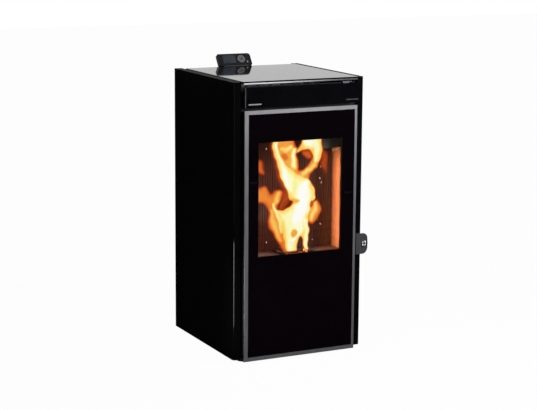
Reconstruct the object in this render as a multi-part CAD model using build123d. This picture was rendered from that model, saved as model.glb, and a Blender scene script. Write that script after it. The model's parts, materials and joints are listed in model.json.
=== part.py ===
from build123d import *
import os
from math import asin, cos, degrees, radians, sin, sqrt, tan

# A compact free-standing pellet stove: a full-height glazed door between two black
# side panels, a glass lid over the pellet hopper, and the fire, feed and fans inside.
# Millimetres, +Z up. While the stove is laid out, X = 0 is the middle of the door,
# Y = 0 is the door's face with +Y towards the wall, and Z = 0 is the floor. The last
# step moves every piece so that the origin is under the middle of the whole stove.

# ---------------------------------------------------------------- driving dimensions
# Body
BODY_WIDTH = 412.0          # over both side panels
BODY_DEPTH = 431.0          # door face to the rear edge of the side panels
FLOOR_GAP = 15.0            # floor to the lower edge of the door
DOOR_SIDE_GAP = 5.5         # door edge to the side panel's inner face
DOOR_HEIGHT = 720.0
LID_SIDE_GAP = 2.0          # lid edge to the inner face of a side panel
LID_GLASS = 4.0             # thickness of the lid's glass

# Sheet metal and general fits
SHEET = 2.0                 # casing and chassis sheet
PLATE = 3.0                 # firebox and base plate
THIN = 1.5                  # hopper, drawer and blower sheet
SEAT_GAP = 0.3              # between a soft or curved piece and what it rests on
RUNNING = 0.05              # radial clearance of a turning pin or shaft
BOLT_GAP = 0.3              # radial clearance of a threaded stud in its hole

# Side panels
PANEL_SETBACK = 13.0        # panel front behind the door face
PANEL_DEPTH = 22.0          # thickness of the folded panel, outside to inside
PANEL_ROUND = 9.0           # radius of the panel's outer front corner
PANEL_TOP_DROP = 2.0        # panel top under the lid's upper face
PANEL_BOTTOM_RISE = 5.0     # panel bottom above the door's lower edge
PANEL_RETURN = 12.0         # width of the folded inner return

# Levelling feet
FOOT_PAD_R = 16.0
FOOT_PAD_H = 6.0
FOOT_STUD_R = 4.0
FOOT_STUD_PROUD = 14.0      # stud above the base plate
FOOT_NUT_R = 7.5
FOOT_NUT_H = 6.5
FOOT_INSET_X = 34.0
FOOT_INSET_Y = 46.0

# Door
TRIM_FACE = 11.2            # visible width of the satin frame, bottom and top
TRIM_FACE_LEFT = 12.2       # at the hinge side
TRIM_FACE_RIGHT = 7.8       # at the latch side
TRIM_SHEET = 2.0
TRIM_DEPTH = 5.0
DOOR_GLASS = 4.0
DOOR_GLASS_LAP = 7.7        # glass behind the frame's face
DOOR_BACK = 22.0            # rear face of the door's steel frame
STILE_EDGE = 2.5            # steel frame inside the trim's outer edge
DOOR_END_CLEAR = 6.0        # steel frame short of the trim at top and bottom
STILE_WIDTH = 30.0
WINDOW_SIDE = 45.0          # clear window inside the door's edge
WINDOW_RISE = 14.0          # clear window above the firebox's shelf
WINDOW_DROP = 92.5          # clear window under the door's top
WINDOW_FRAME_LAP = 4.0      # steel frame outside the clear window
DOOR_SKIN = 2.0             # front web left in the steel frame's pockets
GASKET_WIDTH = 8.0
GASKET_SINK = 4.0           # depth of the gasket's groove
GASKET_INSET = 15.0         # groove's outer edge inside the steel frame's edge
GASKET_LAP = 12.0           # gasket's outer edge past the firebox's mouth
DOOR_GAP = 2.0              # door frame's rear face to the front plate

# Door hinge, at the left edge
HINGE_INSET = 8.0           # pin axis inside the door's left edge
HINGE_BACK = 10.5           # pin axis behind the door face
HINGE_PIN_R = 3.0
HINGE_PIN_GRIP = 15.0       # length of pin inside the steel frame
HINGE_BORE_SPARE = 1.0      # bore deeper than the pin
HINGE_BOSS_R = 5.5
HINGE_ARM = 3.0             # thickness of the bracket's arm
HINGE_ARM_LEFT = 3.0        # arm's edges, left and right of the pin axis
HINGE_ARM_RIGHT = 8.0

# Latch, at the right edge
LATCH_BOTTOM = 295.0
LATCH_HEIGHT = 61.0
LATCH_SHEET = 3.0
LATCH_PIN_INSET = 7.5       # pin axis inside the door's right edge
LATCH_PIN_BACK = 14.0
LATCH_ARM_BACK = 10.5       # middle of the lever's arm, in front of the side panel
LATCH_PIN_R = 3.0
LATCH_HUB_R = 5.5
LATCH_STEP_OUT = 6.5        # past the door's edge, where the lever steps forward
LATCH_FRONT = 6.0           # front face of the lever's outer leaf
LATCH_LEAF = 21.0           # width of the leaf, step to bend
LATCH_LOBE = 20.0           # length of the lobe past the bend
LATCH_LOBE_CORNER = 18.0
LATCH_LOBE_BEND = 12.0      # degrees, bent back
LATCH_HOLE_R = 10.5
LATCH_HOLE_OUT = 8.0        # hole's centre past the bend
LATCH_TAIL = 22.0           # length of the tail behind the pin
LATCH_NOSE = 4.0            # nose on the tail, towards the keeper
LATCH_CLEAR = 1.0           # lever in its slots
LATCH_TURN = 22.0           # degrees that the latch turns to let the door go
KEEPER_R = 5.0
SOCKET_WALL = 1.6
SOCKET_HUB_R = 3.2
SOCKET_SPOKE = 2.2

# Fascia above the door, and the warm-air slot over it
FASCIA_SIDE = 2.5           # fascia's end inside the door's edge
FASCIA_HEIGHT = 57.0
FASCIA_GAP = 7.5            # door top to fascia
FASCIA_TOP_DROP = 16.5      # fascia top under the lid's upper face
FASCIA_GLASS = 4.0
FASCIA_TAB_WIDTH = 30.0
CLIP_LENGTH = 39.0
CLIP_HEIGHT = 3.0
CLIP_PROUD = 3.0
CLIP_RISE = 8.0             # clip above the fascia's lower edge
CLIP_LAP = 3.5              # right clip past the fascia's end
CLIP_INSET = 8.0            # left clip inside the fascia's end

# Lid
LID_FRONT = 2.0
LID_REAR_INSET = 30.0       # lid's rear edge before the side panels' rear edges
LID_FRAME_SIDE = 2.0        # frame inside the glass's side edges
LID_FRAME_INSET = 1.5       # frame behind the glass's front and rear edges
LID_FRAME_H = 4.0
LID_RIM = 12.0              # solid border of the lid's frame
LID_PIVOT_BACK = 4.0        # pin axis behind the glass's rear edge
LID_PIVOT_DROP = 11.5       # pin axis under the lid's upper face
LID_PIN_R = 3.0
LID_KNUCKLE_R = 5.0
LID_LEAF_WIDTH = 40.0
LID_LEAF_LAP = 17.0
LID_LEAF_T = 2.2
LID_HINGE_INSET = 60.0      # hinge's middle inside the frame's side edge
LID_CHEEK = 3.0
RAIL_WIDTH = 16.0
RAIL_TOP_DROP = 6.0         # rail's top under the lid's upper face
RAIL_DROP = 25.0

# Firebox
FIREBOX_SIDE_GAP = 2.0      # firebox to the chassis sides
FIREBOX_BACK = 135.0
FIREBOX_BOTTOM = 190.0
FIREBOX_DROP = 32.0         # firebox roof under the door's top
LINER = 12.0
MOUTH_SIDE = 30.0           # mouth inside the firebox's sides
MOUTH_DROP = 13.0           # mouth under the firebox's top
SHELF_TOP = 303.0
RIB_PITCH = 8.0
RIB_WIDTH = 2.4
RIB_DEPTH = 2.0
BAFFLE_DROP = 48.0          # baffle's underside below the firebox's top
BAFFLE_FRONT = 60.0

# Burn pot
POT_X = 20.0
POT_Y = 73.0
POT_WIDTH = 89.0
POT_LENGTH = 69.0
POT_DEPTH = 60.0
POT_WALL = 5.0
POT_FLANGE = 7.5
POT_FLANGE_H = 4.0
POT_CLEAR = 0.5
POT_HOLE_R = 2.5
POT_HOLES_X = 5
POT_HOLES_Y = 3
POT_HOLE_PITCH = 14.0

# Ash drawer and igniter
DRAWER_SIDE = 35.0          # drawer inside the firebox's sides
DRAWER_HEIGHT = 46.0         # stays under the pot and the igniter
DRAWER_FRONT = 30.0
DRAWER_LENGTH = 88.0
DRAWER_GRIP = 90.0
DRAWER_GRIP_PROUD = 3.0
IGNITER_R = 5.0
IGNITER_LENGTH = 95.0
IGNITER_RISE = 19.0         # igniter above the pot's floor

# Smoke path
HOOD_WIDTH = 64.7
HOOD_FRONT = 62.0
HOOD_DROP = 98.0            # hood's front edge below the firebox's top
HOOD_DIP = 20.0             # side wall's lower corner at the back
DUCT_MOUTH_WIDTH = 49.0
DUCT_MOUTH_DROP = 23.0      # mouth under the firebox's top
DUCT_MOUTH_HEIGHT = 55.0
DUCT_SIDE = 4.0             # duct inside the firebox's right side
DUCT_WIDTH = 72.0
DUCT_DEPTH = 50.0
DUCT_FOOT_WIDTH = 34.0      # side chamber beside the fan
DUCT_FOOT_REACH = 60.0      # side chamber past the fan's axis

# Smoke fan
FAN_SETBACK = 7.5           # fan's axis behind the middle of its bay
FAN_Z = 150.0
FAN_R = 65.0
FAN_WIDTH = 50.0
FAN_INLET_R = 32.0
FAN_OUTLET_H = 50.0
FAN_OUTLET_INSET = 51.0     # outlet's flange before the body's rear edge
IMPELLER_R = 50.0
IMPELLER_BLADES = 10
IMPELLER_BLADE_W = 22.0
SHAFT_R = 4.0
SMOKE_MOTOR_R = 36.0
SMOKE_MOTOR_L = 38.0
MOTOR_STANDOFF = 4.0
POST_R = 4.0
POST_TURN = 30.0            # degrees, the first post from level

# Flue spigot and air intake
FLUE_R = 40.0               # outside of the 80 mm spigot
FLUE_WALL = 1.5
FLUE_PROUD = 45.0           # past the side panels' rear edges
FLUE_FLANGE = 100.0
INTAKE_R = 25.0             # outside of the 50 mm air pipe
INTAKE_WALL = 1.5
INTAKE_PROUD = 35.0
INTAKE_X = -70.0
INTAKE_Z = 232.0
PASS_GAP = 3.0              # rear panel's holes round the pipes

# Hopper and feed
HOPPER_SIDE = 29.0          # hopper inside the side panels' inner faces
HOPPER_GAP = 7.0            # hopper behind the smoke duct
HOPPER_REAR = 56.0          # hopper before the body's rear edge
HOPPER_UPPER = 214.0        # height of the straight upper part
HOPPER_FOOT_W = 40.0
HOPPER_FOOT_L = 28.0
HOPPER_FOOT_RISE = 17.0     # funnel's foot above the auger's lower end
HOPPER_FOOT_BACK = 5.6      # funnel foot behind the auger axis
HOPPER_LIP = 12.0
HOPPER_LIP_DROP = 12.0      # lip under the lid's upper face
SEAL_WIDTH = 10.0
SEAL_INSET = 1.0
GRID_DROP = 60.0
GRID_BARS = 9
GRID_BAR_R = 2.0
AUGER_ANGLE = 60.0          # degrees above the floor
AUGER_SETBACK = 105.5       # lower end of the auger's axis behind the hopper's front
AUGER_Z = 335.0
AUGER_LENGTH = 235.0
AUGER_TUBE_R = 32.0
AUGER_TUBE_WALL = 2.0
AUGER_FLIGHT_R = 28.0
AUGER_CORE_R = 8.0
AUGER_PITCH = 36.0
AUGER_FLIGHT_T = 3.0
AUGER_FLIGHT_ROOT = 1.0     # flight sunk into the core and past the rim's radius
AUGER_END_GAP = 6.0
FEED_WINDOW_RISE = 105.0    # above the auger's lower end
CHUTE_R = 27.0
CHUTE_WALL = 2.0
CHUTE_TOP_AHEAD = 102.5     # chute's upper end before the auger's lower end
CHUTE_TOP_RISE = 157.0      # and above it
CHUTE_FOOT_RISE = 83.0      # chute's lower end above the auger's lower end
GEAR_SIZE = 62.0
GEAR_LENGTH = 40.0
GEAR_MOTOR_R = 27.0
GEAR_MOTOR_L = 40.0
GEAR_SHAFT_R = 5.0

# Room-air blower
BLOWER_SIDE = 10.0          # blower inside the firebox's left side
BLOWER_WIDTH = 190.0
BLOWER_INSET = 101.0        # blower's front before the body's rear edge
BLOWER_DEPTH = 85.0
BLOWER_BOTTOM = 40.0
BLOWER_HEIGHT = 100.0
ROTOR_SETBACK = 42.0        # rotor behind the blower's front
ROTOR_R = 30.0
ROTOR_BLADES = 20
ROTOR_BLADE_W = 8.0
ROTOR_BLADE_T = 1.2
ROTOR_END_GAP = 4.0
BLOWER_MOTOR_R = 28.0
BLOWER_MOTOR_L = 42.0
FIN_COUNT = 9
FIN_PITCH = 38.0
FIN_HEADROOM = 19.0         # fins' tops under the lid's frame
FIN_SETBACK = 10.0          # fins behind the firebox's front

# Rear services
INLET_SIDE = 40.0           # inlet inside the firebox's left side
INLET_Z = 200.0
INLET_WIDTH = 30.0
INLET_HEIGHT = 26.0
INLET_DEPTH = 30.0
INLET_FLANGE = 3.0
INLET_CUP = 15.0
BLADE_PITCH = 7.0
BLADE_T = 2.0
BLADE_WIDTH = 4.0
ROCKER_RISE = 34.0
ROCKER_WIDTH = 19.0
ROCKER_HEIGHT = 13.0
ROCKER_PROUD = 3.0
ROCKER_GAP = 0.4
BOARD_WIDTH = 130.0
BOARD_HEIGHT = 150.0
BOARD_Y = 250.0
BOARD_Z = 340.0
BOARD_T = 1.6
BOARD_PART = 30.0           # height of the transformer on the board
BOARD_PART_W = 45.0
LOUVRE_COUNT = 7
LOUVRE_PITCH = 12.0
LOUVRE_H = 5.0
LOUVRE_LENGTH = 150.0
LOUVRE_RISE = 10.0          # lowest slot above the blower's floor

# Control panel
PANEL_X = -4.5
CONTROL_WIDTH = 110.0
CONTROL_HEIGHT = 40.3
CONTROL_THICK = 12.0
CONTROL_INSET = 4.0         # panel's lower edge before the body's rear edge
CONTROL_TILT = 34.4         # degrees back from upright
CONTROL_CORNER = 4.0
CONTROL_BIG_CORNER = 9.0
CONTROL_RECESS = 0.8
CONTROL_BORDER = 3.0
NECK_WIDTH = 84.0
NECK_DEPTH = 8.0
DISPLAY_X = -17.0
DISPLAY_Y = 22.0
DISPLAY_WIDTH = 42.0
DISPLAY_HEIGHT = 27.0
DISPLAY_T = 1.6
KEYPAD_X = 22.5
KEYPAD_Y = 21.5
KEYPAD_R = 12.5
KEY_HOLE_R = 5.2
OK_R = 4.3
KEY_SPLIT = 1.2
KEY_GAP = 0.25
KEY_PROUD = 1.0
KEY_DEPTH = 3.0
KEY_TRAVEL = 0.8
POWER_X = 41.0
POWER_Y = 11.5
POWER_R = 3.2
SWITCH_SIDE = 33.0          # switch inside the firebox's right side
SWITCH_WIDTH = 30.0
SWITCH_RISE = 3.0           # bracket above the fascia
SWITCH_DROP = 22.0
SWITCH_BODY = 20.0
SWITCH_DEPTH = 9.0

# ------------------------------------------------------------------- worked-out places
HALF = BODY_WIDTH / 2
PANEL_IN = HALF - PANEL_DEPTH                   # inner face of a side panel
DOOR_HALF = PANEL_IN - DOOR_SIDE_GAP
DOOR_WIDTH = 2 * DOOR_HALF
DOOR_BOTTOM = FLOOR_GAP
DOOR_TOP = DOOR_BOTTOM + DOOR_HEIGHT
FASCIA_WIDTH = DOOR_WIDTH - 2 * FASCIA_SIDE
FASCIA_BOTTOM = DOOR_TOP + FASCIA_GAP
FASCIA_TOP = FASCIA_BOTTOM + FASCIA_HEIGHT
LID_TOP = FASCIA_TOP + FASCIA_TOP_DROP          # floor to the lid's upper face
PANEL_BOTTOM = DOOR_BOTTOM + PANEL_BOTTOM_RISE
PANEL_TOP = LID_TOP - PANEL_TOP_DROP
FOOT_STUD_TOP = PANEL_BOTTOM + FOOT_STUD_PROUD

GLASS_BACK = TRIM_SHEET + DOOR_GLASS
STILE_HALF = DOOR_HALF - STILE_EDGE
FRAME_BOTTOM = DOOR_BOTTOM + DOOR_END_CLEAR
FRAME_TOP = DOOR_TOP - DOOR_END_CLEAR
FRONT_PLATE = DOOR_BACK + DOOR_GAP              # front face of the chassis front
WINDOW_WIDTH = DOOR_WIDTH - 2 * WINDOW_SIDE
WINDOW_BOTTOM = SHELF_TOP + WINDOW_RISE
WINDOW_TOP = DOOR_TOP - WINDOW_DROP
HINGE_X = -DOOR_HALF + HINGE_INSET
LATCH_TOP = LATCH_BOTTOM + LATCH_HEIGHT
LATCH_MID = (LATCH_BOTTOM + LATCH_TOP) / 2
LATCH_X = DOOR_HALF - LATCH_PIN_INSET
LATCH_Y = LATCH_PIN_BACK
LATCH_STEP_X = DOOR_HALF + LATCH_STEP_OUT
LATCH_BEND_X = LATCH_STEP_X + LATCH_LEAF

FIREBOX_FRONT = FRONT_PLATE + SHEET
FIREBOX_HALF = PANEL_IN - SHEET - FIREBOX_SIDE_GAP
FIREBOX_TOP = DOOR_TOP - FIREBOX_DROP
FIRE_IN = FIREBOX_HALF - PLATE                  # inside of the firebox wall
FIRE_BACK_IN = FIREBOX_BACK - PLATE
FIRE_FLOOR = FIREBOX_BOTTOM + PLATE
FIRE_ROOF = FIREBOX_TOP - PLATE
LINER_FACE = FIRE_BACK_IN - LINER
LINER_HALF = FIRE_IN - LINER
MOUTH_WIDTH = 2 * (FIREBOX_HALF - MOUTH_SIDE)
MOUTH_TOP = FIREBOX_TOP - MOUTH_DROP
BAFFLE_BOTTOM = FIREBOX_TOP - BAFFLE_DROP
HOOD_BOTTOM = FIREBOX_TOP - HOOD_DROP
POT_FLOOR = SHELF_TOP - POT_DEPTH
DRAWER_WIDTH = 2 * (FIREBOX_HALF - DRAWER_SIDE)

LID_WIDTH = 2 * (PANEL_IN - LID_SIDE_GAP)
LID_FRAME_WIDTH = LID_WIDTH - 2 * LID_FRAME_SIDE
LID_BACK = BODY_DEPTH - LID_REAR_INSET
LID_UNDER = LID_TOP - LID_GLASS                 # underside of the lid's glass
FRAME_UNDER = LID_UNDER - LID_FRAME_H
LID_PIVOT_Y = LID_BACK + LID_PIVOT_BACK
LID_PIVOT_Z = LID_TOP - LID_PIVOT_DROP
LID_HINGE_X = LID_FRAME_WIDTH / 2 - LID_HINGE_INSET
RAIL_FRONT = BODY_DEPTH - RAIL_WIDTH            # rear rail's front wall
RAIL_TOP = LID_TOP - RAIL_TOP_DROP
REAR_FACE = BODY_DEPTH - SHEET                  # outer face of the rear panel
REAR_IN = REAR_FACE - SHEET
CHASSIS_TOP = FRAME_UNDER - SHEET
FIN_FRONT = FIREBOX_FRONT + FIN_SETBACK
FIN_TOP = FRAME_UNDER - FIN_HEADROOM

DUCT_RIGHT = FIREBOX_HALF - DUCT_SIDE
DUCT_LEFT = DUCT_RIGHT - DUCT_WIDTH
DUCT_BACK = FIREBOX_BACK + DUCT_DEPTH
DUCT_MOUTH_TOP = FIREBOX_TOP - DUCT_MOUTH_DROP
DUCT_MOUTH_BOTTOM = DUCT_MOUTH_TOP - DUCT_MOUTH_HEIGHT
DUCT_FOOT_LEFT = DUCT_RIGHT - DUCT_FOOT_WIDTH
FAN_RIGHT = DUCT_FOOT_LEFT
FAN_LEFT = FAN_RIGHT - FAN_WIDTH
FAN_OUTLET_BACK = BODY_DEPTH - FAN_OUTLET_INSET
FAN_Y = (DUCT_BACK + FAN_OUTLET_BACK) / 2 + FAN_SETBACK
FAN_OUTLET_TOP = FAN_Z + FAN_R
FAN_OUTLET_BOTTOM = FAN_OUTLET_TOP - FAN_OUTLET_H
FLUE_X = (FAN_LEFT + FAN_RIGHT) / 2
FLUE_Z = (FAN_OUTLET_BOTTOM + FAN_OUTLET_TOP) / 2
FLUE_END = BODY_DEPTH + FLUE_PROUD
INTAKE_END = BODY_DEPTH + INTAKE_PROUD

HOPPER_HALF = PANEL_IN - HOPPER_SIDE
HOPPER_FRONT = DUCT_BACK + HOPPER_GAP
HOPPER_BACK = BODY_DEPTH - HOPPER_REAR
HOPPER_RIM = LID_TOP - HOPPER_LIP_DROP
HOPPER_KNEE = HOPPER_RIM - HOPPER_UPPER         # where the walls start to slope in
HOPPER_FOOT_Z = AUGER_Z + HOPPER_FOOT_RISE
AUGER_Y = HOPPER_FRONT + AUGER_SETBACK
AUGER_DIR = (0, -cos(radians(AUGER_ANGLE)), sin(radians(AUGER_ANGLE)))
AUGER_START = (POT_X, AUGER_Y, AUGER_Z)

BLOWER_LEFT = BLOWER_SIDE - FIREBOX_HALF
BLOWER_FRONT = BODY_DEPTH - BLOWER_INSET
ROTOR_Y = BLOWER_FRONT + ROTOR_SETBACK
ROTOR_Z = BLOWER_BOTTOM + BLOWER_HEIGHT / 2
LOUVRE_BOTTOM = BLOWER_BOTTOM + LOUVRE_RISE
INLET_X = INLET_SIDE - FIREBOX_HALF
SWITCH_X = FIREBOX_HALF - SWITCH_SIDE
CONTROL_Y = BODY_DEPTH - CONTROL_INSET


# --------------------------------------------------------------------------- helpers
def block(x, y, z):
    """A box from its (low, high) pair along each axis."""
    size = [high - low for low, high in (x, y, z)]
    centre = [(high + low) / 2 for low, high in (x, y, z)]
    return Pos(*centre) * Box(*size)


def span(centre, width):
    """The (low, high) pair of a width about its centre."""
    return (centre - width / 2, centre + width / 2)


def rod(radius, start, end):
    """A round bar from one point to another."""
    way = Vector(*end) - Vector(*start)
    seat = Plane(origin=start, z_dir=way)
    lift = (Align.CENTER, Align.CENTER, Align.MIN)
    return seat * Cylinder(radius, way.length, align=lift)


def pipe(outer, wall, start, end):
    return rod(outer, start, end) - rod(outer - wall, start, end)


def along_auger(distance):
    return tuple(a + distance * d for a, d in zip(AUGER_START, AUGER_DIR))


def mirrored(part):
    """The same piece on the other side of the stove."""
    return part + mirror(part, about=Plane.YZ)


# ---------------------------------------------------------------------------- casing
def base_plate():
    plate = block((-PANEL_IN, PANEL_IN), (FRONT_PLATE, REAR_FACE), (PANEL_BOTTOM - PLATE, PANEL_BOTTOM))
    for x, y in foot_places():
        plate -= rod(FOOT_STUD_R + BOLT_GAP, (x, y, 0), (x, y, FOOT_STUD_TOP))
    return plate


def foot_places():
    xs = (-PANEL_IN + FOOT_INSET_X, PANEL_IN - FOOT_INSET_X)
    ys = (FRONT_PLATE + FOOT_INSET_Y, REAR_FACE - FOOT_INSET_Y)
    return [(x, y) for x in xs for y in ys]


def levelling_feet():
    """Pads on threaded studs, each with its nut on the base plate."""
    feet = []
    for x, y in foot_places():
        pad = rod(FOOT_PAD_R, (x, y, 0), (x, y, FOOT_PAD_H))
        pad = chamfer(pad.edges().group_by(Axis.Z)[-1], FOOT_PAD_H / 4)
        stud = rod(FOOT_STUD_R, (x, y, FOOT_PAD_H), (x, y, FOOT_STUD_TOP))
        nut = Pos(x, y, PANEL_BOTTOM) * extrude(RegularPolygon(FOOT_NUT_R, 6), FOOT_NUT_H)
        feet.append(pad + stud + nut)
    return feet


def side_panel():
    """The left panel: folded sheet, its outer front corner rounded, with narrow returns."""
    def outline(inset):
        left = -HALF + inset
        front = PANEL_SETBACK + inset
        round_r = PANEL_ROUND - inset
        with BuildSketch() as sketch:
            with BuildLine():
                Polyline((left + round_r, front), (-PANEL_IN, front), (-PANEL_IN, BODY_DEPTH - inset),
                         (left, BODY_DEPTH - inset), (left, front + round_r))
                RadiusArc((left, front + round_r), (left + round_r, front), -round_r)
            make_face()
        return sketch.sketch
    outer = Pos(0, 0, PANEL_BOTTOM) * extrude(outline(0), PANEL_TOP - PANEL_BOTTOM)
    inner = Pos(0, 0, PANEL_BOTTOM + SHEET) * extrude(outline(SHEET), PANEL_TOP - PANEL_BOTTOM - 2 * SHEET)
    wall = block((-PANEL_IN - SHEET, -PANEL_IN), (PANEL_SETBACK + SHEET, BODY_DEPTH - SHEET),
                 (PANEL_BOTTOM + SHEET, PANEL_TOP - SHEET))
    way = block((-PANEL_IN - SHEET, -PANEL_IN), (PANEL_SETBACK + PANEL_RETURN, BODY_DEPTH - PANEL_RETURN),
                (PANEL_BOTTOM + PANEL_RETURN, PANEL_TOP - PANEL_RETURN))
    return outer - inner + wall - way


def chassis_sides():
    wall = block((-PANEL_IN, -PANEL_IN + SHEET), (FIREBOX_FRONT, REAR_IN), (PANEL_BOTTOM, CHASSIS_TOP))
    return mirrored(wall)


def front_plate():
    """The chassis front: firebox mouth, latch slot, and tabs that carry the fascia."""
    plate = block((-PANEL_IN, PANEL_IN), (FRONT_PLATE, FIREBOX_FRONT), (PANEL_BOTTOM, FASCIA_TOP))
    plate -= block(span(0, MOUTH_WIDTH), (FRONT_PLATE, FIREBOX_FRONT), (FIRE_FLOOR, MOUTH_TOP))
    plate -= latch_slot()
    tab_x = (FASCIA_WIDTH / 2 - FASCIA_TAB_WIDTH, FASCIA_WIDTH / 2)
    tab_z = (FASCIA_BOTTOM + SHEET, FASCIA_BOTTOM + SHEET + FASCIA_TAB_WIDTH)
    face = block(tab_x, (FASCIA_GLASS, FASCIA_GLASS + SHEET), tab_z)
    arm = block(tab_x, (FASCIA_GLASS, FRONT_PLATE), (tab_z[1] - SHEET, tab_z[1]))
    return plate + mirrored(face + arm)


def latch_slot():
    """The way through the front plate for the latch's tail and its nose."""
    left = LATCH_X - LATCH_SHEET / 2 - LATCH_NOSE - LATCH_CLEAR
    right = LATCH_X + LATCH_TAIL * sin(radians(LATCH_TURN)) + LATCH_SHEET
    z = (LATCH_BOTTOM - LATCH_CLEAR, LATCH_TOP + LATCH_CLEAR)
    return block((left, right), (FRONT_PLATE, FIREBOX_FRONT), z)


def rear_panel():
    """The removable back: air slots, and holes for the pipes, inlet and switch."""
    panel = block((-PANEL_IN, PANEL_IN), (REAR_IN, REAR_FACE), (PANEL_BOTTOM, RAIL_TOP - SHEET))
    panel -= rod(FLUE_R + PASS_GAP, (FLUE_X, REAR_IN, FLUE_Z), (FLUE_X, REAR_FACE, FLUE_Z))
    panel -= rod(INTAKE_R + PASS_GAP, (INTAKE_X, REAR_IN, INTAKE_Z), (INTAKE_X, REAR_FACE, INTAKE_Z))
    middle = BLOWER_LEFT + BLOWER_WIDTH / 2
    for i in range(LOUVRE_COUNT):
        z = LOUVRE_BOTTOM + i * LOUVRE_PITCH
        panel -= block(span(middle, LOUVRE_LENGTH), (REAR_IN, REAR_FACE), (z, z + LOUVRE_H))
    panel -= block(span(INLET_X, INLET_WIDTH), (REAR_IN, REAR_FACE), span(INLET_Z, INLET_HEIGHT))
    panel -= block(span(INLET_X, ROCKER_WIDTH + 2 * SHEET), (REAR_IN, REAR_FACE),
                   span(INLET_Z + ROCKER_RISE, ROCKER_HEIGHT + 2 * SHEET))
    return panel


def rear_rail():
    """The strip behind the lid that carries the control panel."""
    top = block((-PANEL_IN, PANEL_IN), (RAIL_FRONT, BODY_DEPTH), (RAIL_TOP - SHEET, RAIL_TOP))
    wall = block((-PANEL_IN + SHEET, PANEL_IN - SHEET), (RAIL_FRONT, RAIL_FRONT + SHEET),
                 (RAIL_TOP - RAIL_DROP, RAIL_TOP))
    return top + wall


def fascia_glass():
    glass = block(span(0, FASCIA_WIDTH), (0, FASCIA_GLASS), (FASCIA_BOTTOM, FASCIA_TOP))
    return chamfer(glass.edges().filter_by(Axis.Y), FASCIA_GLASS / 4)


def fascia_clips():
    """Small satin bars on the fascia: the right one hooks round its end."""
    end = FASCIA_WIDTH / 2 + CLIP_LAP
    start = -FASCIA_WIDTH / 2 + CLIP_INSET
    z = (FASCIA_BOTTOM + CLIP_RISE, FASCIA_BOTTOM + CLIP_RISE + CLIP_HEIGHT)
    bars = block((end - CLIP_LENGTH, end), (-CLIP_PROUD, 0), z)
    bars += block((start, start + CLIP_LENGTH), (-CLIP_PROUD, 0), z)
    return bars + block((FASCIA_WIDTH / 2, end), (0, FASCIA_GLASS + SHEET), z)


# ------------------------------------------------------------------------------- lid
def lid_glass():
    glass = block(span(0, LID_WIDTH), (LID_FRONT, LID_BACK), (LID_UNDER, LID_TOP))
    return chamfer(glass.edges().group_by(Axis.Z)[-1], LID_GLASS / 6)


def lid_frame():
    """A pressed tray under the glass: a solid rim round a thin skin."""
    y = (LID_FRONT + LID_FRAME_INSET, LID_BACK - LID_FRAME_INSET)
    tray = block(span(0, LID_FRAME_WIDTH), y, (FRAME_UNDER, LID_UNDER))
    return tray - block(span(0, LID_FRAME_WIDTH - 2 * LID_RIM), (y[0] + LID_RIM, y[1] - LID_RIM),
                        (FRAME_UNDER, LID_UNDER - THIN))


def lid_axis_rod(radius, wide):
    return rod(radius, (wide[0], LID_PIVOT_Y, LID_PIVOT_Z), (wide[1], LID_PIVOT_Y, LID_PIVOT_Z))


def lid_hinge_leaves():
    """Two leaves screwed under the lid's rim, each ending in a knuckle."""
    leaves = []
    for x in (-LID_HINGE_X, LID_HINGE_X):
        wide = span(x, LID_LEAF_WIDTH)
        leaf = block(wide, (LID_PIVOT_Y - LID_LEAF_LAP, LID_PIVOT_Y), (FRAME_UNDER - LID_LEAF_T, FRAME_UNDER))
        leaves.append(leaf + lid_axis_rod(LID_KNUCKLE_R, wide) - lid_axis_rod(LID_PIN_R + RUNNING, wide))
    return leaves


def lid_hinge_brackets():
    """Cheeks on the rear rail that hold each lid pin."""
    brackets = []
    for x in (-LID_HINGE_X, LID_HINGE_X):
        reach = LID_LEAF_WIDTH / 2 + SEAT_GAP + LID_CHEEK
        pin = lid_axis_rod(LID_PIN_R, (x - reach, x + reach))
        low = RAIL_TOP - RAIL_DROP
        for side in (-1, 1):
            inner = x + side * (reach - LID_CHEEK)
            wide = sorted((inner, x + side * reach))
            pin += lid_axis_rod(LID_KNUCKLE_R, wide)
            pin += block(wide, (LID_PIVOT_Y - LID_KNUCKLE_R, RAIL_FRONT), (low, LID_PIVOT_Z))
        tie = block((x - reach, x + reach), (RAIL_FRONT - SHEET, RAIL_FRONT), (low, low + 2 * LID_KNUCKLE_R))
        brackets.append(pin + tie)
    return brackets


def lid_seal():
    """A flat gasket on the hopper's rim that the lid closes on."""
    def outline(reach):
        return block((-HOPPER_HALF - reach, HOPPER_HALF + reach), (HOPPER_FRONT - reach, HOPPER_BACK + reach),
                     (HOPPER_RIM, LID_UNDER - THIN - SEAT_GAP))
    outer = HOPPER_LIP - SEAL_INSET
    return outline(outer) - outline(outer - SEAL_WIDTH)


def lid_switch():
    """A plated bracket in the air slot with the switch that stops the feed."""
    wide = span(SWITCH_X, SWITCH_WIDTH)
    level = FASCIA_TOP + SWITCH_RISE
    leg = block(wide, (FRONT_PLATE - THIN, FRONT_PLATE), (level - SWITCH_DROP, level))
    shelf = block(wide, (FASCIA_GLASS + SHEET, FRONT_PLATE), (level, level + THIN))
    body = block(span(SWITCH_X, SWITCH_BODY), (FRONT_PLATE - THIN - SWITCH_DEPTH, FRONT_PLATE - THIN),
                 (level - SWITCH_DROP, level - SEAT_GAP))
    return [leg + shelf, body]


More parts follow.
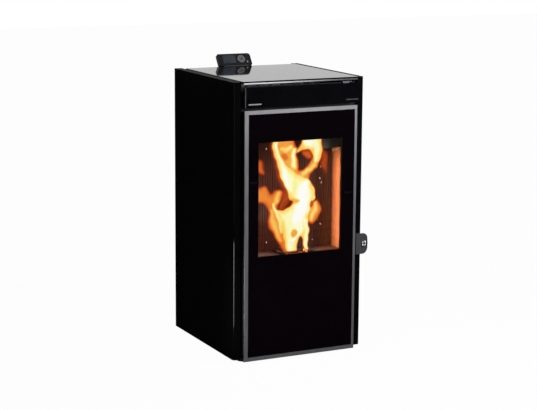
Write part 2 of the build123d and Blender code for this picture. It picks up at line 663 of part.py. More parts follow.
# ------------------------------------------------------------------------------ door
def door_trim():
    """The satin frame: a flat face with a short lip round its outer edge."""
    trim = block(span(0, DOOR_WIDTH), (0, TRIM_DEPTH), (DOOR_BOTTOM, DOOR_TOP))
    trim = chamfer(trim.edges().group_by(Axis.Y)[0], TRIM_SHEET / 4)
    trim -= block(span(0, DOOR_WIDTH - 2 * TRIM_SHEET), (TRIM_SHEET, TRIM_DEPTH),
                  (DOOR_BOTTOM + TRIM_SHEET, DOOR_TOP - TRIM_SHEET))
    return trim - block((-DOOR_HALF + TRIM_FACE_LEFT, DOOR_HALF - TRIM_FACE_RIGHT), (0, TRIM_SHEET),
                        (DOOR_BOTTOM + TRIM_FACE, DOOR_TOP - TRIM_FACE))


def door_glass():
    half = DOOR_HALF - TRIM_FACE + DOOR_GLASS_LAP
    low = DOOR_BOTTOM + TRIM_FACE - DOOR_GLASS_LAP / 2
    high = DOOR_TOP - TRIM_FACE + DOOR_GLASS_LAP / 2
    return block((-half, half), (TRIM_SHEET, GLASS_BACK), (low, high))


def door_frame():
    """The steel frame behind the glass, with the hinge bores and the latch pin."""
    frame = block((-STILE_HALF, STILE_HALF), (GLASS_BACK, DOOR_BACK), (FRAME_BOTTOM, FRAME_TOP))
    half = WINDOW_WIDTH / 2 + WINDOW_FRAME_LAP
    frame -= block((-half, half), (GLASS_BACK, DOOR_BACK),
                   (WINDOW_BOTTOM - WINDOW_FRAME_LAP, WINDOW_TOP + WINDOW_FRAME_LAP))
    pocket_x = (-STILE_HALF + STILE_WIDTH, STILE_HALF - STILE_WIDTH)
    pocket_y = (GLASS_BACK + DOOR_SKIN, DOOR_BACK)
    rail = FIRE_FLOOR - GASKET_WIDTH
    for z in ((FRAME_BOTTOM + STILE_WIDTH / 2, rail - STILE_WIDTH / 2),
              (rail + STILE_WIDTH / 2, WINDOW_BOTTOM - STILE_WIDTH)):
        frame -= block(pocket_x, pocket_y, z)
    frame -= gasket_ring(SEAT_GAP, DOOR_BACK - GASKET_SINK, DOOR_BACK)
    bore = HINGE_PIN_GRIP + HINGE_BORE_SPARE
    for low, high in ((FRAME_BOTTOM, FRAME_BOTTOM + bore), (FRAME_TOP - bore, FRAME_TOP)):
        frame -= rod(HINGE_PIN_R + RUNNING, (HINGE_X, HINGE_BACK, low), (HINGE_X, HINGE_BACK, high))
    z = (LATCH_BOTTOM - LATCH_CLEAR, LATCH_TOP + LATCH_CLEAR)
    frame -= block((LATCH_X - LATCH_HUB_R - LATCH_NOSE, STILE_HALF), (GLASS_BACK, DOOR_BACK), z)
    return frame + rod(LATCH_PIN_R, (LATCH_X, LATCH_Y, z[0]), (LATCH_X, LATCH_Y, z[1]))


def gasket_ring(extra, front, back):
    """The gasket's ring round the firebox mouth, grown by a clearance."""
    out = STILE_HALF - GASKET_INSET + extra
    low = FIRE_FLOOR - GASKET_LAP - extra
    high = MOUTH_TOP + GASKET_LAP + extra
    width = GASKET_WIDTH + 2 * extra
    ring = block((-out, out), (front, back), (low, high))
    return ring - block((-out + width, out - width), (front, back), (low + width, high - width))


def door_gasket():
    ring = gasket_ring(0, DOOR_BACK - GASKET_SINK, FRONT_PLATE - SEAT_GAP)
    return fillet(ring.edges().group_by(Axis.Y)[-1], (FRONT_PLATE - DOOR_BACK) / 2)


def hinge_brackets():
    """Arms on the front plate that hold the door's pins, at the bottom and the top."""
    brackets = []
    for level, way in ((FRAME_BOTTOM, -1), (FRAME_TOP, 1)):
        near = level + way * SEAT_GAP
        far = near + way * HINGE_ARM
        z = sorted((near, far))
        arm = block((HINGE_X - HINGE_ARM_LEFT, HINGE_X + HINGE_ARM_RIGHT), (HINGE_BACK, FRONT_PLATE), z)
        arm += rod(HINGE_BOSS_R, (HINGE_X, HINGE_BACK, z[0]), (HINGE_X, HINGE_BACK, z[1]))
        tip = level - way * HINGE_PIN_GRIP
        arm += rod(HINGE_PIN_R, (HINGE_X, HINGE_BACK, near), (HINGE_X, HINGE_BACK, tip))
        brackets.append(arm)
    return brackets


# ----------------------------------------------------------------------------- latch
def latch_lever():
    """One bent plate on a vertical pin: a leaf, a lobe for the grip tool, and a tail."""
    tall = (LATCH_BOTTOM, LATCH_TOP)
    half = LATCH_SHEET / 2
    arm = block((LATCH_X, LATCH_STEP_X + LATCH_SHEET), span(LATCH_ARM_BACK, LATCH_SHEET), tall)
    web = block((LATCH_STEP_X, LATCH_STEP_X + LATCH_SHEET), (LATCH_FRONT, LATCH_ARM_BACK + half), tall)
    leaf = block((LATCH_STEP_X, LATCH_BEND_X), (LATCH_FRONT, LATCH_FRONT + LATCH_SHEET), tall)
    seat = Plane(origin=(LATCH_BEND_X, LATCH_FRONT, LATCH_MID), x_dir=lobe_way(), z_dir=lobe_out())
    lobe = seat * extrude(lobe_outline(LATCH_HEIGHT), -LATCH_SHEET)
    hole = seat * (Pos(LATCH_HOLE_OUT, 0, 0) * Cylinder(LATCH_HOLE_R, 3 * LATCH_SHEET))
    tail = block(span(LATCH_X, LATCH_SHEET), (LATCH_Y, LATCH_Y + LATCH_TAIL), tall)
    nose = block((LATCH_X - half - LATCH_NOSE, LATCH_X),
                 (LATCH_Y + LATCH_TAIL - LATCH_SHEET, LATCH_Y + LATCH_TAIL), tall)
    hub = rod(LATCH_HUB_R, (LATCH_X, LATCH_Y, LATCH_BOTTOM), (LATCH_X, LATCH_Y, LATCH_TOP))
    lever = arm + web + leaf + lobe - hole + tail + nose + hub
    return lever - rod(LATCH_PIN_R + RUNNING, (LATCH_X, LATCH_Y, LATCH_BOTTOM), (LATCH_X, LATCH_Y, LATCH_TOP))


def lobe_way():
    return (cos(radians(LATCH_LOBE_BEND)), sin(radians(LATCH_LOBE_BEND)), 0)


def lobe_out():
    return (sin(radians(LATCH_LOBE_BEND)), -cos(radians(LATCH_LOBE_BEND)), 0)


def lobe_outline(height):
    """A tongue with large round outer corners, overlapping the bend a little."""
    tongue = Rectangle(LATCH_LOBE + LATCH_SHEET, height)
    tongue = fillet(tongue.vertices().group_by(Axis.X)[-1], LATCH_LOBE_CORNER)
    return Pos((LATCH_LOBE - LATCH_SHEET) / 2, 0) * tongue


def latch_socket():
    """A spoked bush in the lobe's hole, for the loose grip's forked end."""
    outer = LATCH_HOLE_R - RUNNING
    ring = Circle(outer) - Circle(outer - SOCKET_WALL)
    reach = 2 * outer - SOCKET_WALL
    spokes = Rectangle(reach, SOCKET_SPOKE) + Rectangle(SOCKET_SPOKE, reach)
    web = Pos(0, 0, -LATCH_SHEET) * extrude(ring + spokes + Circle(SOCKET_HUB_R), LATCH_SHEET)
    rim = extrude(Circle(outer + SOCKET_WALL) - Circle(outer - SOCKET_WALL), SOCKET_WALL / 2)
    seat = Plane(origin=(LATCH_BEND_X, LATCH_FRONT, LATCH_MID), x_dir=lobe_way(), z_dir=lobe_out())
    return seat * (Pos(LATCH_HOLE_OUT, 0, 0) * (web + rim))


def keeper_axis():
    """Where the keeper's roller stands, beside the latch's nose."""
    return (LATCH_X - LATCH_SHEET / 2 - LATCH_NOSE - LATCH_CLEAR - KEEPER_R,
            LATCH_Y + LATCH_TAIL - LATCH_SHEET / 2)


def latch_keeper():
    """A roller between two lugs behind the front plate."""
    x, y = keeper_axis()
    low = LATCH_MID - KEEPER_R
    high = LATCH_MID + KEEPER_R
    roller = rod(KEEPER_R, (x, y, low), (x, y, high))
    plates = []
    for z in ((low - SHEET, low), (high, high + SHEET)):
        plates.append(block((x - KEEPER_R, x + KEEPER_R / 2), (FIREBOX_FRONT, y + KEEPER_R), z))
    return roller + plates[0] + plates[1]


# --------------------------------------------------------------------------- firebox
def firebox():
    """The welded fire chamber, open at the front."""
    shell = block((-FIREBOX_HALF, FIREBOX_HALF), (FIREBOX_FRONT, FIREBOX_BACK),
                  (FIREBOX_BOTTOM, FIREBOX_TOP))
    shell -= block((-FIRE_IN, FIRE_IN), (FIREBOX_FRONT, FIRE_BACK_IN), (FIRE_FLOOR, FIRE_ROOF))
    return shell + keeper_room(SHEET) - keeper_room(0) - back_holes()


def keeper_room(wall):
    """The pocket beside the mouth for the latch's tail and keeper, with or without its wall."""
    x, y = keeper_axis()
    margin = LATCH_CLEAR + wall
    return block((x - KEEPER_R - margin, FIREBOX_HALF), (FIREBOX_FRONT, y + KEEPER_R + margin),
                 (LATCH_BOTTOM - LATCH_CLEAR - margin, LATCH_TOP + LATCH_CLEAR + margin))


def back_holes():
    """What passes the firebox's back: feed chute, smoke, igniter and air."""
    holes = rod(CHUTE_R + SEAT_GAP, chute_lip(), chute_top())
    holes += block(hood_mouth(), (LINER_FACE, FIREBOX_BACK), (DUCT_MOUTH_BOTTOM, DUCT_MOUTH_TOP))
    level = POT_FLOOR + IGNITER_RISE
    holes += rod(IGNITER_R + SEAT_GAP, (POT_X, LINER_FACE, level), (POT_X, FIREBOX_BACK, level))
    holes += rod(INTAKE_R - INTAKE_WALL, (INTAKE_X, LINER_FACE, INTAKE_Z),
                 (INTAKE_X, FIREBOX_BACK, INTAKE_Z))
    return holes


def hood_mouth():
    return span(LINER_HALF - HOOD_WIDTH / 2, DUCT_MOUTH_WIDTH)


def liner_back():
    """The ribbed fire-brick slab on the back wall."""
    slab = block((-FIRE_IN, FIRE_IN), (LINER_FACE, FIRE_BACK_IN), (SHELF_TOP, FIRE_ROOF))
    count = int(LINER_HALF / RIB_PITCH)
    grooves = [block(span(i * RIB_PITCH, RIB_WIDTH), (LINER_FACE, LINER_FACE + RIB_DEPTH),
                     (SHELF_TOP, FIRE_ROOF)) for i in range(-count, count + 1)]
    return slab - grooves - back_holes()


def liner_sides():
    slab = block((LINER_HALF, FIRE_IN), (FIREBOX_FRONT, LINER_FACE), (SHELF_TOP, FIRE_ROOF))
    left = mirror(slab, about=Plane.YZ)
    return [left, slab - keeper_room(SHEET)]


def baffle():
    return block((-LINER_HALF, LINER_HALF - HOOD_WIDTH - SEAT_GAP), (BAFFLE_FRONT, LINER_FACE),
                 (BAFFLE_BOTTOM, BAFFLE_BOTTOM + LINER))


def smoke_collector():
    """A hood in the upper right corner, open below, that leads to the duct."""
    left = LINER_HALF - HOOD_WIDTH
    hood = block((left, LINER_HALF), (HOOD_FRONT, LINER_FACE), (HOOD_BOTTOM - HOOD_DIP, FIRE_ROOF))
    hood -= block((left + SHEET, LINER_HALF - SHEET), (HOOD_FRONT + SHEET, LINER_FACE),
                  (HOOD_BOTTOM - HOOD_DIP, FIRE_ROOF - SHEET))
    slope = degrees(asin(HOOD_DIP / (LINER_FACE - HOOD_FRONT)))
    cutter = Pos(LINER_HALF, HOOD_FRONT, HOOD_BOTTOM) * Rot(-slope, 0, 0) * Box(
        4 * HOOD_WIDTH, 6 * HOOD_WIDTH, HOOD_WIDTH, align=(Align.CENTER, Align.CENTER, Align.MAX))
    return hood - cutter


def pot_shelf():
    shelf = block((-FIRE_IN, FIRE_IN), (FIREBOX_FRONT, FIRE_BACK_IN), (SHELF_TOP - PLATE, SHELF_TOP))
    shelf -= block(span(POT_X, POT_WIDTH + 2 * POT_CLEAR), span(POT_Y, POT_LENGTH + 2 * POT_CLEAR),
                   (SHELF_TOP - PLATE, SHELF_TOP))
    return shelf - keeper_room(SHEET)


def burn_pot():
    """The cast pot that hangs by its flange and lifts out for cleaning."""
    pot = block(span(POT_X, POT_WIDTH), span(POT_Y, POT_LENGTH), (POT_FLOOR, SHELF_TOP))
    pot += block(span(POT_X, POT_WIDTH + 2 * POT_FLANGE), span(POT_Y, POT_LENGTH + 2 * POT_FLANGE),
                 (SHELF_TOP, SHELF_TOP + POT_FLANGE_H))
    pot -= block(span(POT_X, POT_WIDTH - 2 * POT_WALL), span(POT_Y, POT_LENGTH - 2 * POT_WALL),
                 (POT_FLOOR + POT_WALL, SHELF_TOP + POT_FLANGE_H))
    for i in range(POT_HOLES_X):
        for j in range(POT_HOLES_Y):
            x = POT_X + (i - (POT_HOLES_X - 1) / 2) * POT_HOLE_PITCH
            y = POT_Y + (j - (POT_HOLES_Y - 1) / 2) * POT_HOLE_PITCH
            pot -= rod(POT_HOLE_R, (x, y, POT_FLOOR), (x, y, POT_FLOOR + POT_WALL))
    level = POT_FLOOR + IGNITER_RISE
    back = POT_Y + POT_LENGTH / 2
    return pot - rod(IGNITER_R, (POT_X, back - POT_WALL, level), (POT_X, back, level))


def ash_drawer():
    """The ash box under the shelf, with a folded grip on its front."""
    z = (FIRE_FLOOR, FIRE_FLOOR + DRAWER_HEIGHT)
    y = (DRAWER_FRONT, DRAWER_FRONT + DRAWER_LENGTH)
    box = block(span(0, DRAWER_WIDTH), y, z)
    box -= block(span(0, DRAWER_WIDTH - 2 * THIN), (y[0] + THIN, y[1] - THIN), (z[0] + THIN, z[1]))
    grip = block(span(0, DRAWER_GRIP), (y[0] - DRAWER_GRIP_PROUD, y[0]), (z[1] - THIN, z[1]))
    return box + grip


def igniter():
    level = POT_FLOOR + IGNITER_RISE
    tip = POT_Y + POT_LENGTH / 2 + POT_CLEAR
    body = rod(IGNITER_R, (POT_X, tip, level), (POT_X, tip + IGNITER_LENGTH, level))
    collar = rod(2 * IGNITER_R, (POT_X, FIREBOX_BACK, level), (POT_X, FIREBOX_BACK + PLATE, level))
    return body + collar


def chute_foot():
    return (POT_X, LINER_FACE, AUGER_Z + CHUTE_FOOT_RISE)


def chute_top():
    return (POT_X, AUGER_Y - CHUTE_TOP_AHEAD, AUGER_Z + CHUTE_TOP_RISE)


def chute_lip():
    """A point on the chute's line so far into the fire that its square end clears the liner."""
    foot = Vector(*chute_foot())
    onward = (foot - Vector(*chute_top())).normalized()
    return tuple(foot + onward * (2 * CHUTE_R))


def exchanger_fins():
    """Upright fins on the firebox roof that warm the room air."""
    middle = (FIN_COUNT - 1) / 2
    return [block(span((i - middle) * FIN_PITCH, PLATE), (FIN_FRONT, FIREBOX_BACK),
                  (FIREBOX_TOP, FIN_TOP)) for i in range(FIN_COUNT)]


# -------------------------------------------------------------------- smoke and air
def exhaust_duct():
    """The flat duct down the firebox's back, with a foot beside the smoke fan."""
    foot_z = span(FAN_Z, 2 * DUCT_FOOT_REACH)

    def run(inset):
        down = block((DUCT_LEFT + inset, DUCT_RIGHT - inset),
                     (FIREBOX_BACK + inset, DUCT_BACK - inset), (foot_z[0] + inset, FIRE_ROOF - inset))
        foot = block((DUCT_FOOT_LEFT + inset, DUCT_RIGHT - inset),
                     (DUCT_BACK - DUCT_DEPTH / 2, FAN_Y + DUCT_FOOT_REACH - inset),
                     (foot_z[0] + inset, foot_z[1] - inset))
        return down + foot

    duct = run(0) - run(SHEET)
    duct -= block(hood_mouth(), (FIREBOX_BACK, FIREBOX_BACK + SHEET), (DUCT_MOUTH_BOTTOM, DUCT_MOUTH_TOP))
    return duct - rod(FAN_INLET_R, (DUCT_FOOT_LEFT, FAN_Y, FAN_Z), (DUCT_FOOT_LEFT + SHEET, FAN_Y, FAN_Z))


def fan_room(inset):
    """The fan's drum with its outlet at the top, towards the wall."""
    x = (FAN_LEFT + inset, FAN_RIGHT - inset)
    drum = rod(FAN_R - inset, (x[0], FAN_Y, FAN_Z), (x[1], FAN_Y, FAN_Z))
    return drum + block(x, (FAN_Y, FAN_OUTLET_BACK), (FAN_OUTLET_BOTTOM + inset, FAN_OUTLET_TOP - inset))


def exhaust_fan_housing():
    shell = fan_room(0) - fan_room(SHEET)
    shell -= rod(FAN_INLET_R, (FAN_RIGHT - SHEET, FAN_Y, FAN_Z), (FAN_RIGHT, FAN_Y, FAN_Z))
    return shell - rod(2 * SHAFT_R, (FAN_LEFT, FAN_Y, FAN_Z), (FAN_LEFT + SHEET, FAN_Y, FAN_Z))


def exhaust_impeller():
    """A bladed disc on the smoke motor's shaft."""
    left = FAN_LEFT + 4 * SHEET
    wheel = rod(IMPELLER_R, (left, FAN_Y, FAN_Z), (left + SHEET, FAN_Y, FAN_Z))
    wheel += rod(2 * SHAFT_R, (left, FAN_Y, FAN_Z), (left + IMPELLER_BLADE_W, FAN_Y, FAN_Z))
    for i in range(IMPELLER_BLADES):
        blade = block((left, left + IMPELLER_BLADE_W), (SHAFT_R * 1.5, IMPELLER_R), span(0, THIN))
        wheel += Pos(0, FAN_Y, FAN_Z) * Rot(360 / IMPELLER_BLADES * i, 0, 0) * blade
    shaft_end = FAN_LEFT - MOTOR_STANDOFF - SMOKE_MOTOR_L + SHEET
    return wheel + rod(SHAFT_R, (shaft_end, FAN_Y, FAN_Z), (left, FAN_Y, FAN_Z))


def exhaust_motor():
    right = FAN_LEFT - MOTOR_STANDOFF
    left = right - SMOKE_MOTOR_L
    body = rod(SMOKE_MOTOR_R, (left, FAN_Y, FAN_Z), (right, FAN_Y, FAN_Z))
    body = fillet(body.edges().filter_by(GeomType.CIRCLE), SHEET)
    body -= rod(SHAFT_R + RUNNING, (left + SHEET, FAN_Y, FAN_Z), (right, FAN_Y, FAN_Z))
    return body + motor_posts((right - SHEET, FAN_LEFT), SMOKE_MOTOR_R, FAN_Y, FAN_Z)


def motor_posts(x, motor_r, y, z):
    """Three stand-off posts, near the motor's edge, between the motor and its case."""
    out = motor_r - 2 * POST_R
    post = rod(POST_R, (x[0], out, 0), (x[1], out, 0))
    return [Pos(0, y, z) * Rot(POST_TURN + 120 * i, 0, 0) * post for i in range(3)]


def flue_spigot():
    """The 80 mm smoke outlet on its square flange."""
    flange = block(span(FLUE_X, FLUE_FLANGE), (FAN_OUTLET_BACK, FAN_OUTLET_BACK + PLATE),
                   span(FLUE_Z, FLUE_FLANGE))
    spigot = flange + rod(FLUE_R, (FLUE_X, FAN_OUTLET_BACK, FLUE_Z), (FLUE_X, FLUE_END, FLUE_Z))
    spigot -= rod(FLUE_R - FLUE_WALL, (FLUE_X, FAN_OUTLET_BACK + PLATE, FLUE_Z), (FLUE_X, FLUE_END, FLUE_Z))
    return spigot - block((FAN_LEFT + SHEET, FAN_RIGHT - SHEET), (FAN_OUTLET_BACK, FAN_OUTLET_BACK + PLATE),
                          (FAN_OUTLET_BOTTOM + SHEET, FAN_OUTLET_TOP - SHEET))


def air_intake():
    """The 50 mm pipe that brings burning air to the chamber under the pot."""
    tube = pipe(INTAKE_R, INTAKE_WALL, (INTAKE_X, FIREBOX_BACK, INTAKE_Z), (INTAKE_X, INTAKE_END, INTAKE_Z))
    flange = pipe(INTAKE_R + 4 * PLATE, 4 * PLATE + INTAKE_WALL, (INTAKE_X, FIREBOX_BACK, INTAKE_Z),
                  (INTAKE_X, FIREBOX_BACK + PLATE, INTAKE_Z))
    return tube + flange


def blower_housing():
    """The room-air blower's case: open to the rear slots and to the space above."""
    x = (BLOWER_LEFT, BLOWER_LEFT + BLOWER_WIDTH)
    y = (BLOWER_FRONT, BLOWER_FRONT + BLOWER_DEPTH)
    z = (BLOWER_BOTTOM, BLOWER_BOTTOM + BLOWER_HEIGHT)
    case = block(x, y, z)
    case -= block((x[0] + THIN, x[1] - THIN), (y[0] + THIN, y[1]), (z[0] + THIN, z[1] - THIN))
    case -= block((x[0] + THIN, x[1] - THIN), (y[0] + THIN, ROTOR_Y - ROTOR_R / 3), (z[1] - THIN, z[1]))
    case -= rod(SHAFT_R + RUNNING, (x[0], ROTOR_Y, ROTOR_Z), (x[1], ROTOR_Y, ROTOR_Z))
    for foot_y in (y[0], y[1] - 4 * PLATE):
        case += block((x[0], x[1]), (foot_y, foot_y + THIN), (PANEL_BOTTOM, z[0]))
    return case


def blower_rotor():
    """A long drum of narrow blades between discs, on one shaft."""
    x = (BLOWER_LEFT + THIN + ROTOR_END_GAP, BLOWER_LEFT + BLOWER_WIDTH - THIN - ROTOR_END_GAP)
    middle = (x[0] + x[1]) / 2
    motor_end = BLOWER_LEFT + BLOWER_WIDTH + MOTOR_STANDOFF + BLOWER_MOTOR_L - SHEET
    rotor = rod(SHAFT_R, (BLOWER_LEFT, ROTOR_Y, ROTOR_Z), (motor_end, ROTOR_Y, ROTOR_Z))
    for disc in (x[0], middle - THIN / 2, x[1] - THIN):
        rotor += rod(ROTOR_R, (disc, ROTOR_Y, ROTOR_Z), (disc + THIN, ROTOR_Y, ROTOR_Z))
    for i in range(ROTOR_BLADES):
        blade = block(x, span(0, ROTOR_BLADE_T), (ROTOR_R - ROTOR_BLADE_W, ROTOR_R - ROTOR_BLADE_T))
        rotor += Pos(0, ROTOR_Y, ROTOR_Z) * Rot(360 / ROTOR_BLADES * i, 0, 0) * blade
    return rotor


def blower_motor():
    left = BLOWER_LEFT + BLOWER_WIDTH + MOTOR_STANDOFF
    right = left + BLOWER_MOTOR_L
    body = rod(BLOWER_MOTOR_R, (left, ROTOR_Y, ROTOR_Z), (right, ROTOR_Y, ROTOR_Z))
    body = fillet(body.edges().filter_by(GeomType.CIRCLE), SHEET)
    body -= rod(SHAFT_R + RUNNING, (left, ROTOR_Y, ROTOR_Z), (right - SHEET, ROTOR_Y, ROTOR_Z))
    return body + motor_posts((left - MOTOR_STANDOFF, left + SHEET), BLOWER_MOTOR_R, ROTOR_Y, ROTOR_Z)


# --------------------------------------------------------------------- hopper and feed
def hopper_room(inset):
    """The pellet space: a straight upper box over a funnel that ends in the auger."""
    half = HOPPER_HALF - inset
    y = (HOPPER_FRONT + inset, HOPPER_BACK - inset)
    top = Rectangle(2 * half, y[1] - y[0])
    foot = Rectangle(HOPPER_FOOT_W - 2 * inset, HOPPER_FOOT_L - 2 * inset)
    axis_y = AUGER_Y - (HOPPER_FOOT_Z - AUGER_Z) / tan(radians(AUGER_ANGLE))
    mouth = Pos(0, (y[0] + y[1]) / 2, HOPPER_KNEE) * top
    funnel = loft([mouth, Pos(POT_X, axis_y + HOPPER_FOOT_BACK, HOPPER_FOOT_Z) * foot])
    return funnel + block((-half, half), y, (HOPPER_KNEE, HOPPER_RIM))


def hopper():
    shell = hopper_room(0) - hopper_room(THIN)
    lip = block((-PANEL_IN + SHEET, PANEL_IN - SHEET), (HOPPER_FRONT - HOPPER_LIP, HOPPER_BACK + HOPPER_LIP),
                (HOPPER_RIM - THIN, HOPPER_RIM))
    lip -= block((-HOPPER_HALF + THIN, HOPPER_HALF - THIN), (HOPPER_FRONT + THIN, HOPPER_BACK - THIN),
                 (HOPPER_RIM - THIN, HOPPER_RIM))
    shell += lip
    return shell - rod(AUGER_TUBE_R, along_auger(-AUGER_TUBE_R), along_auger(AUGER_LENGTH + AUGER_TUBE_R / 4))


def hopper_grid():
    """A rod guard across the hopper that keeps hands off the auger."""
    level = HOPPER_RIM - GRID_DROP
    upper = level + 2 * GRID_BAR_R
    y = (HOPPER_FRONT + THIN, HOPPER_BACK - THIN)
    half = HOPPER_HALF - THIN
    across = (y[0] + GRID_BAR_R, (y[0] + y[1]) / 2, y[1] - GRID_BAR_R)
    pitch = 2 * half / GRID_BARS
    along = [(i - (GRID_BARS - 1) / 2) * pitch for i in range(GRID_BARS)]
    return ([rod(GRID_BAR_R, (-half, edge, level), (half, edge, level)) for edge in across]
            + [rod(GRID_BAR_R, (x, y[0], upper), (x, y[1], upper)) for x in along])


def auger_tube():
    """The sloping tube: a window under the hopper, and one into the chute."""
    tube = pipe(AUGER_TUBE_R, AUGER_TUBE_WALL, along_auger(0), along_auger(AUGER_LENGTH))
    tube += rod(AUGER_TUBE_R, along_auger(AUGER_LENGTH), along_auger(AUGER_LENGTH + PLATE))
    window = hopper_room(THIN) & block((-HOPPER_HALF, HOPPER_HALF), (0, BODY_DEPTH),
                                           (0, AUGER_Z + FEED_WINDOW_RISE))
    tube -= window
    tube -= rod(CHUTE_R - CHUTE_WALL, chute_foot(), chute_top())
    flange = rod(AUGER_TUBE_R + 4 * PLATE, along_auger(0), along_auger(PLATE))
    return tube + flange - rod(AUGER_TUBE_R - AUGER_TUBE_WALL, along_auger(0), along_auger(PLATE))


def auger_screw():
    """The feed screw: a helical flight on a core."""
    start = AUGER_END_GAP
    length = AUGER_LENGTH - 2 * AUGER_END_GAP
    path = Helix(AUGER_PITCH, length - AUGER_PITCH / 4, (AUGER_CORE_R + AUGER_FLIGHT_R) / 2)
    wide = AUGER_FLIGHT_R - AUGER_CORE_R + 2 * AUGER_FLIGHT_ROOT
    with BuildPart() as flight:
        with BuildSketch(Plane(origin=path @ 0, x_dir=(1, 0, 0), z_dir=path % 0)):
            Rectangle(wide, AUGER_FLIGHT_T)
        sweep(path=path, is_frenet=True)
    core = Cylinder(AUGER_CORE_R, length, align=(Align.CENTER, Align.CENTER, Align.MIN))
    seat = Plane(origin=along_auger(start), z_dir=AUGER_DIR)
    screw = core + Pos(0, 0, AUGER_PITCH / 8) * flight.part
    shaft = rod(GEAR_SHAFT_R, along_auger(-GEAR_LENGTH + SHEET), along_auger(start))
    return seat * screw + shaft


def auger_gearmotor():
    """A geared motor on the tube's lower flange."""
    seat = Plane(origin=along_auger(0), x_dir=(1, 0, 0), z_dir=AUGER_DIR)
    down = (Align.CENTER, Align.CENTER, Align.MAX)
    gears = Box(GEAR_SIZE, GEAR_SIZE, GEAR_LENGTH, align=down)
    gears = fillet(gears.edges().filter_by(Axis.Z), PLATE)
    gears -= Cylinder(GEAR_SHAFT_R + RUNNING, GEAR_LENGTH - SHEET / 2, align=down)
    motor = Pos(0, 0, -GEAR_LENGTH) * Cylinder(GEAR_MOTOR_R, GEAR_MOTOR_L, align=down)
    return seat * (gears + motor)


def feed_chute():
    """The steep pipe from the auger's upper end through the firebox back."""
    way = pipe(CHUTE_R, CHUTE_WALL, chute_lip(), chute_top())
    way -= rod(AUGER_TUBE_R + SEAT_GAP, along_auger(0), along_auger(AUGER_LENGTH + PLATE))
    return way - block((-HALF, HALF), (0, LINER_FACE), (0, LID_TOP))


# --------------------------------------------------------------------- electric parts
def main_board():
    """The control board on posts from the left chassis wall."""
    wall = -PANEL_IN + SHEET
    face = wall + 3 * PLATE
    board = block((face, face + BOARD_T), span(BOARD_Y, BOARD_WIDTH), span(BOARD_Z, BOARD_HEIGHT))
    for y in (-1, 1):
        for z in (-1, 1):
            post_y = BOARD_Y + y * (BOARD_WIDTH / 2 - 2 * PLATE)
            post_z = BOARD_Z + z * (BOARD_HEIGHT / 2 - 2 * PLATE)
            board += rod(PLATE, (wall, post_y, post_z), (face, post_y, post_z))
    return board + block((face, face + BOARD_PART), span(BOARD_Y, BOARD_PART_W), span(BOARD_Z, BOARD_PART_W))


def inlet_body(width, height, level):
    """A snap-in body through the rear panel, with a thin flange outside it."""
    back = block(span(INLET_X, width), (REAR_FACE - INLET_DEPTH, REAR_FACE), span(level, height))
    flange = block(span(INLET_X, width + 2 * INLET_FLANGE), (REAR_FACE, BODY_DEPTH),
                   span(level, height + 2 * INLET_FLANGE))
    return back + flange


def power_inlet():
    """The mains inlet with three blades, and the seat of the rocker above it."""
    inlet = inlet_body(INLET_WIDTH, INLET_HEIGHT, INLET_Z)
    cup_y = (BODY_DEPTH - INLET_CUP, BODY_DEPTH)
    cup = block(span(INLET_X, INLET_WIDTH - 2 * INLET_FLANGE), cup_y,
                span(INLET_Z, INLET_HEIGHT - 2 * INLET_FLANGE))
    cup -= [block(span(INLET_X + BLADE_PITCH * i, BLADE_T), (cup_y[0], BODY_DEPTH - PLATE),
                  span(INLET_Z, BLADE_WIDTH)) for i in (-1, 0, 1)]
    level = INLET_Z + ROCKER_RISE
    seat = inlet_body(ROCKER_WIDTH + 2 * SHEET, ROCKER_HEIGHT + 2 * SHEET, level)
    return [inlet - cup, seat - block(span(INLET_X, ROCKER_WIDTH), cup_y, span(level, ROCKER_HEIGHT))]


def rocker_switch():
    """The mains rocker, tipping about its long middle line."""
    level = INLET_Z + ROCKER_RISE
    wide = span(INLET_X, ROCKER_WIDTH - 2 * ROCKER_GAP)
    pivot = (BODY_DEPTH - ROCKER_PROUD, level)
    high = ROCKER_HEIGHT - 4 * ROCKER_GAP
    body = block(wide, (pivot[0] - ROCKER_PROUD, pivot[0] + ROCKER_PROUD), span(level, high))
    hollow = rod(ROCKER_HEIGHT, (wide[0], BODY_DEPTH + ROCKER_HEIGHT - ROCKER_PROUD / 2, level),
                 (wide[1], BODY_DEPTH + ROCKER_HEIGHT - ROCKER_PROUD / 2, level))
    return body - hollow


# --------------------------------------------------------------------- control panel
CONTROL_SEAT = Plane(
    origin=(PANEL_X, CONTROL_Y, LID_TOP), x_dir=(1, 0, 0),
    z_dir=(0, -cos(radians(CONTROL_TILT)), sin(radians(CONTROL_TILT))))


def control_outline(inset):
    sheet = Pos(0, CONTROL_HEIGHT / 2) * Rectangle(CONTROL_WIDTH - 2 * inset, CONTROL_HEIGHT - 2 * inset)
    corner = sheet.vertices().sort_by(Axis.X)
    right = sorted(corner[2:], key=lambda v: v.Y)
    sheet = fillet(right[1], CONTROL_BIG_CORNER - inset)
    rest = [v for v in sheet.vertices() if abs(abs(v.X) - CONTROL_WIDTH / 2 + inset) < 1e-6
            and min(abs(v.Y - inset), abs(v.Y - CONTROL_HEIGHT + inset)) < 1e-6]
    return fillet(rest, CONTROL_CORNER - inset)


def key_quarter(grow):
    """One of the four keys of the round pad, as an outline."""
    outer = KEYPAD_R + grow
    ring = Circle(outer) - Circle(KEY_HOLE_R - grow)
    gap = KEY_SPLIT / 2 - grow
    reach = 2 * KEYPAD_R
    wedge = Polygon((0, 0), (reach, -reach), (reach, reach), align=None)
    return ring & (Pos(gap * sqrt(2), 0) * wedge)


def key(outline, depth, proud):
    return Pos(0, 0, -depth) * extrude(outline, depth + proud)


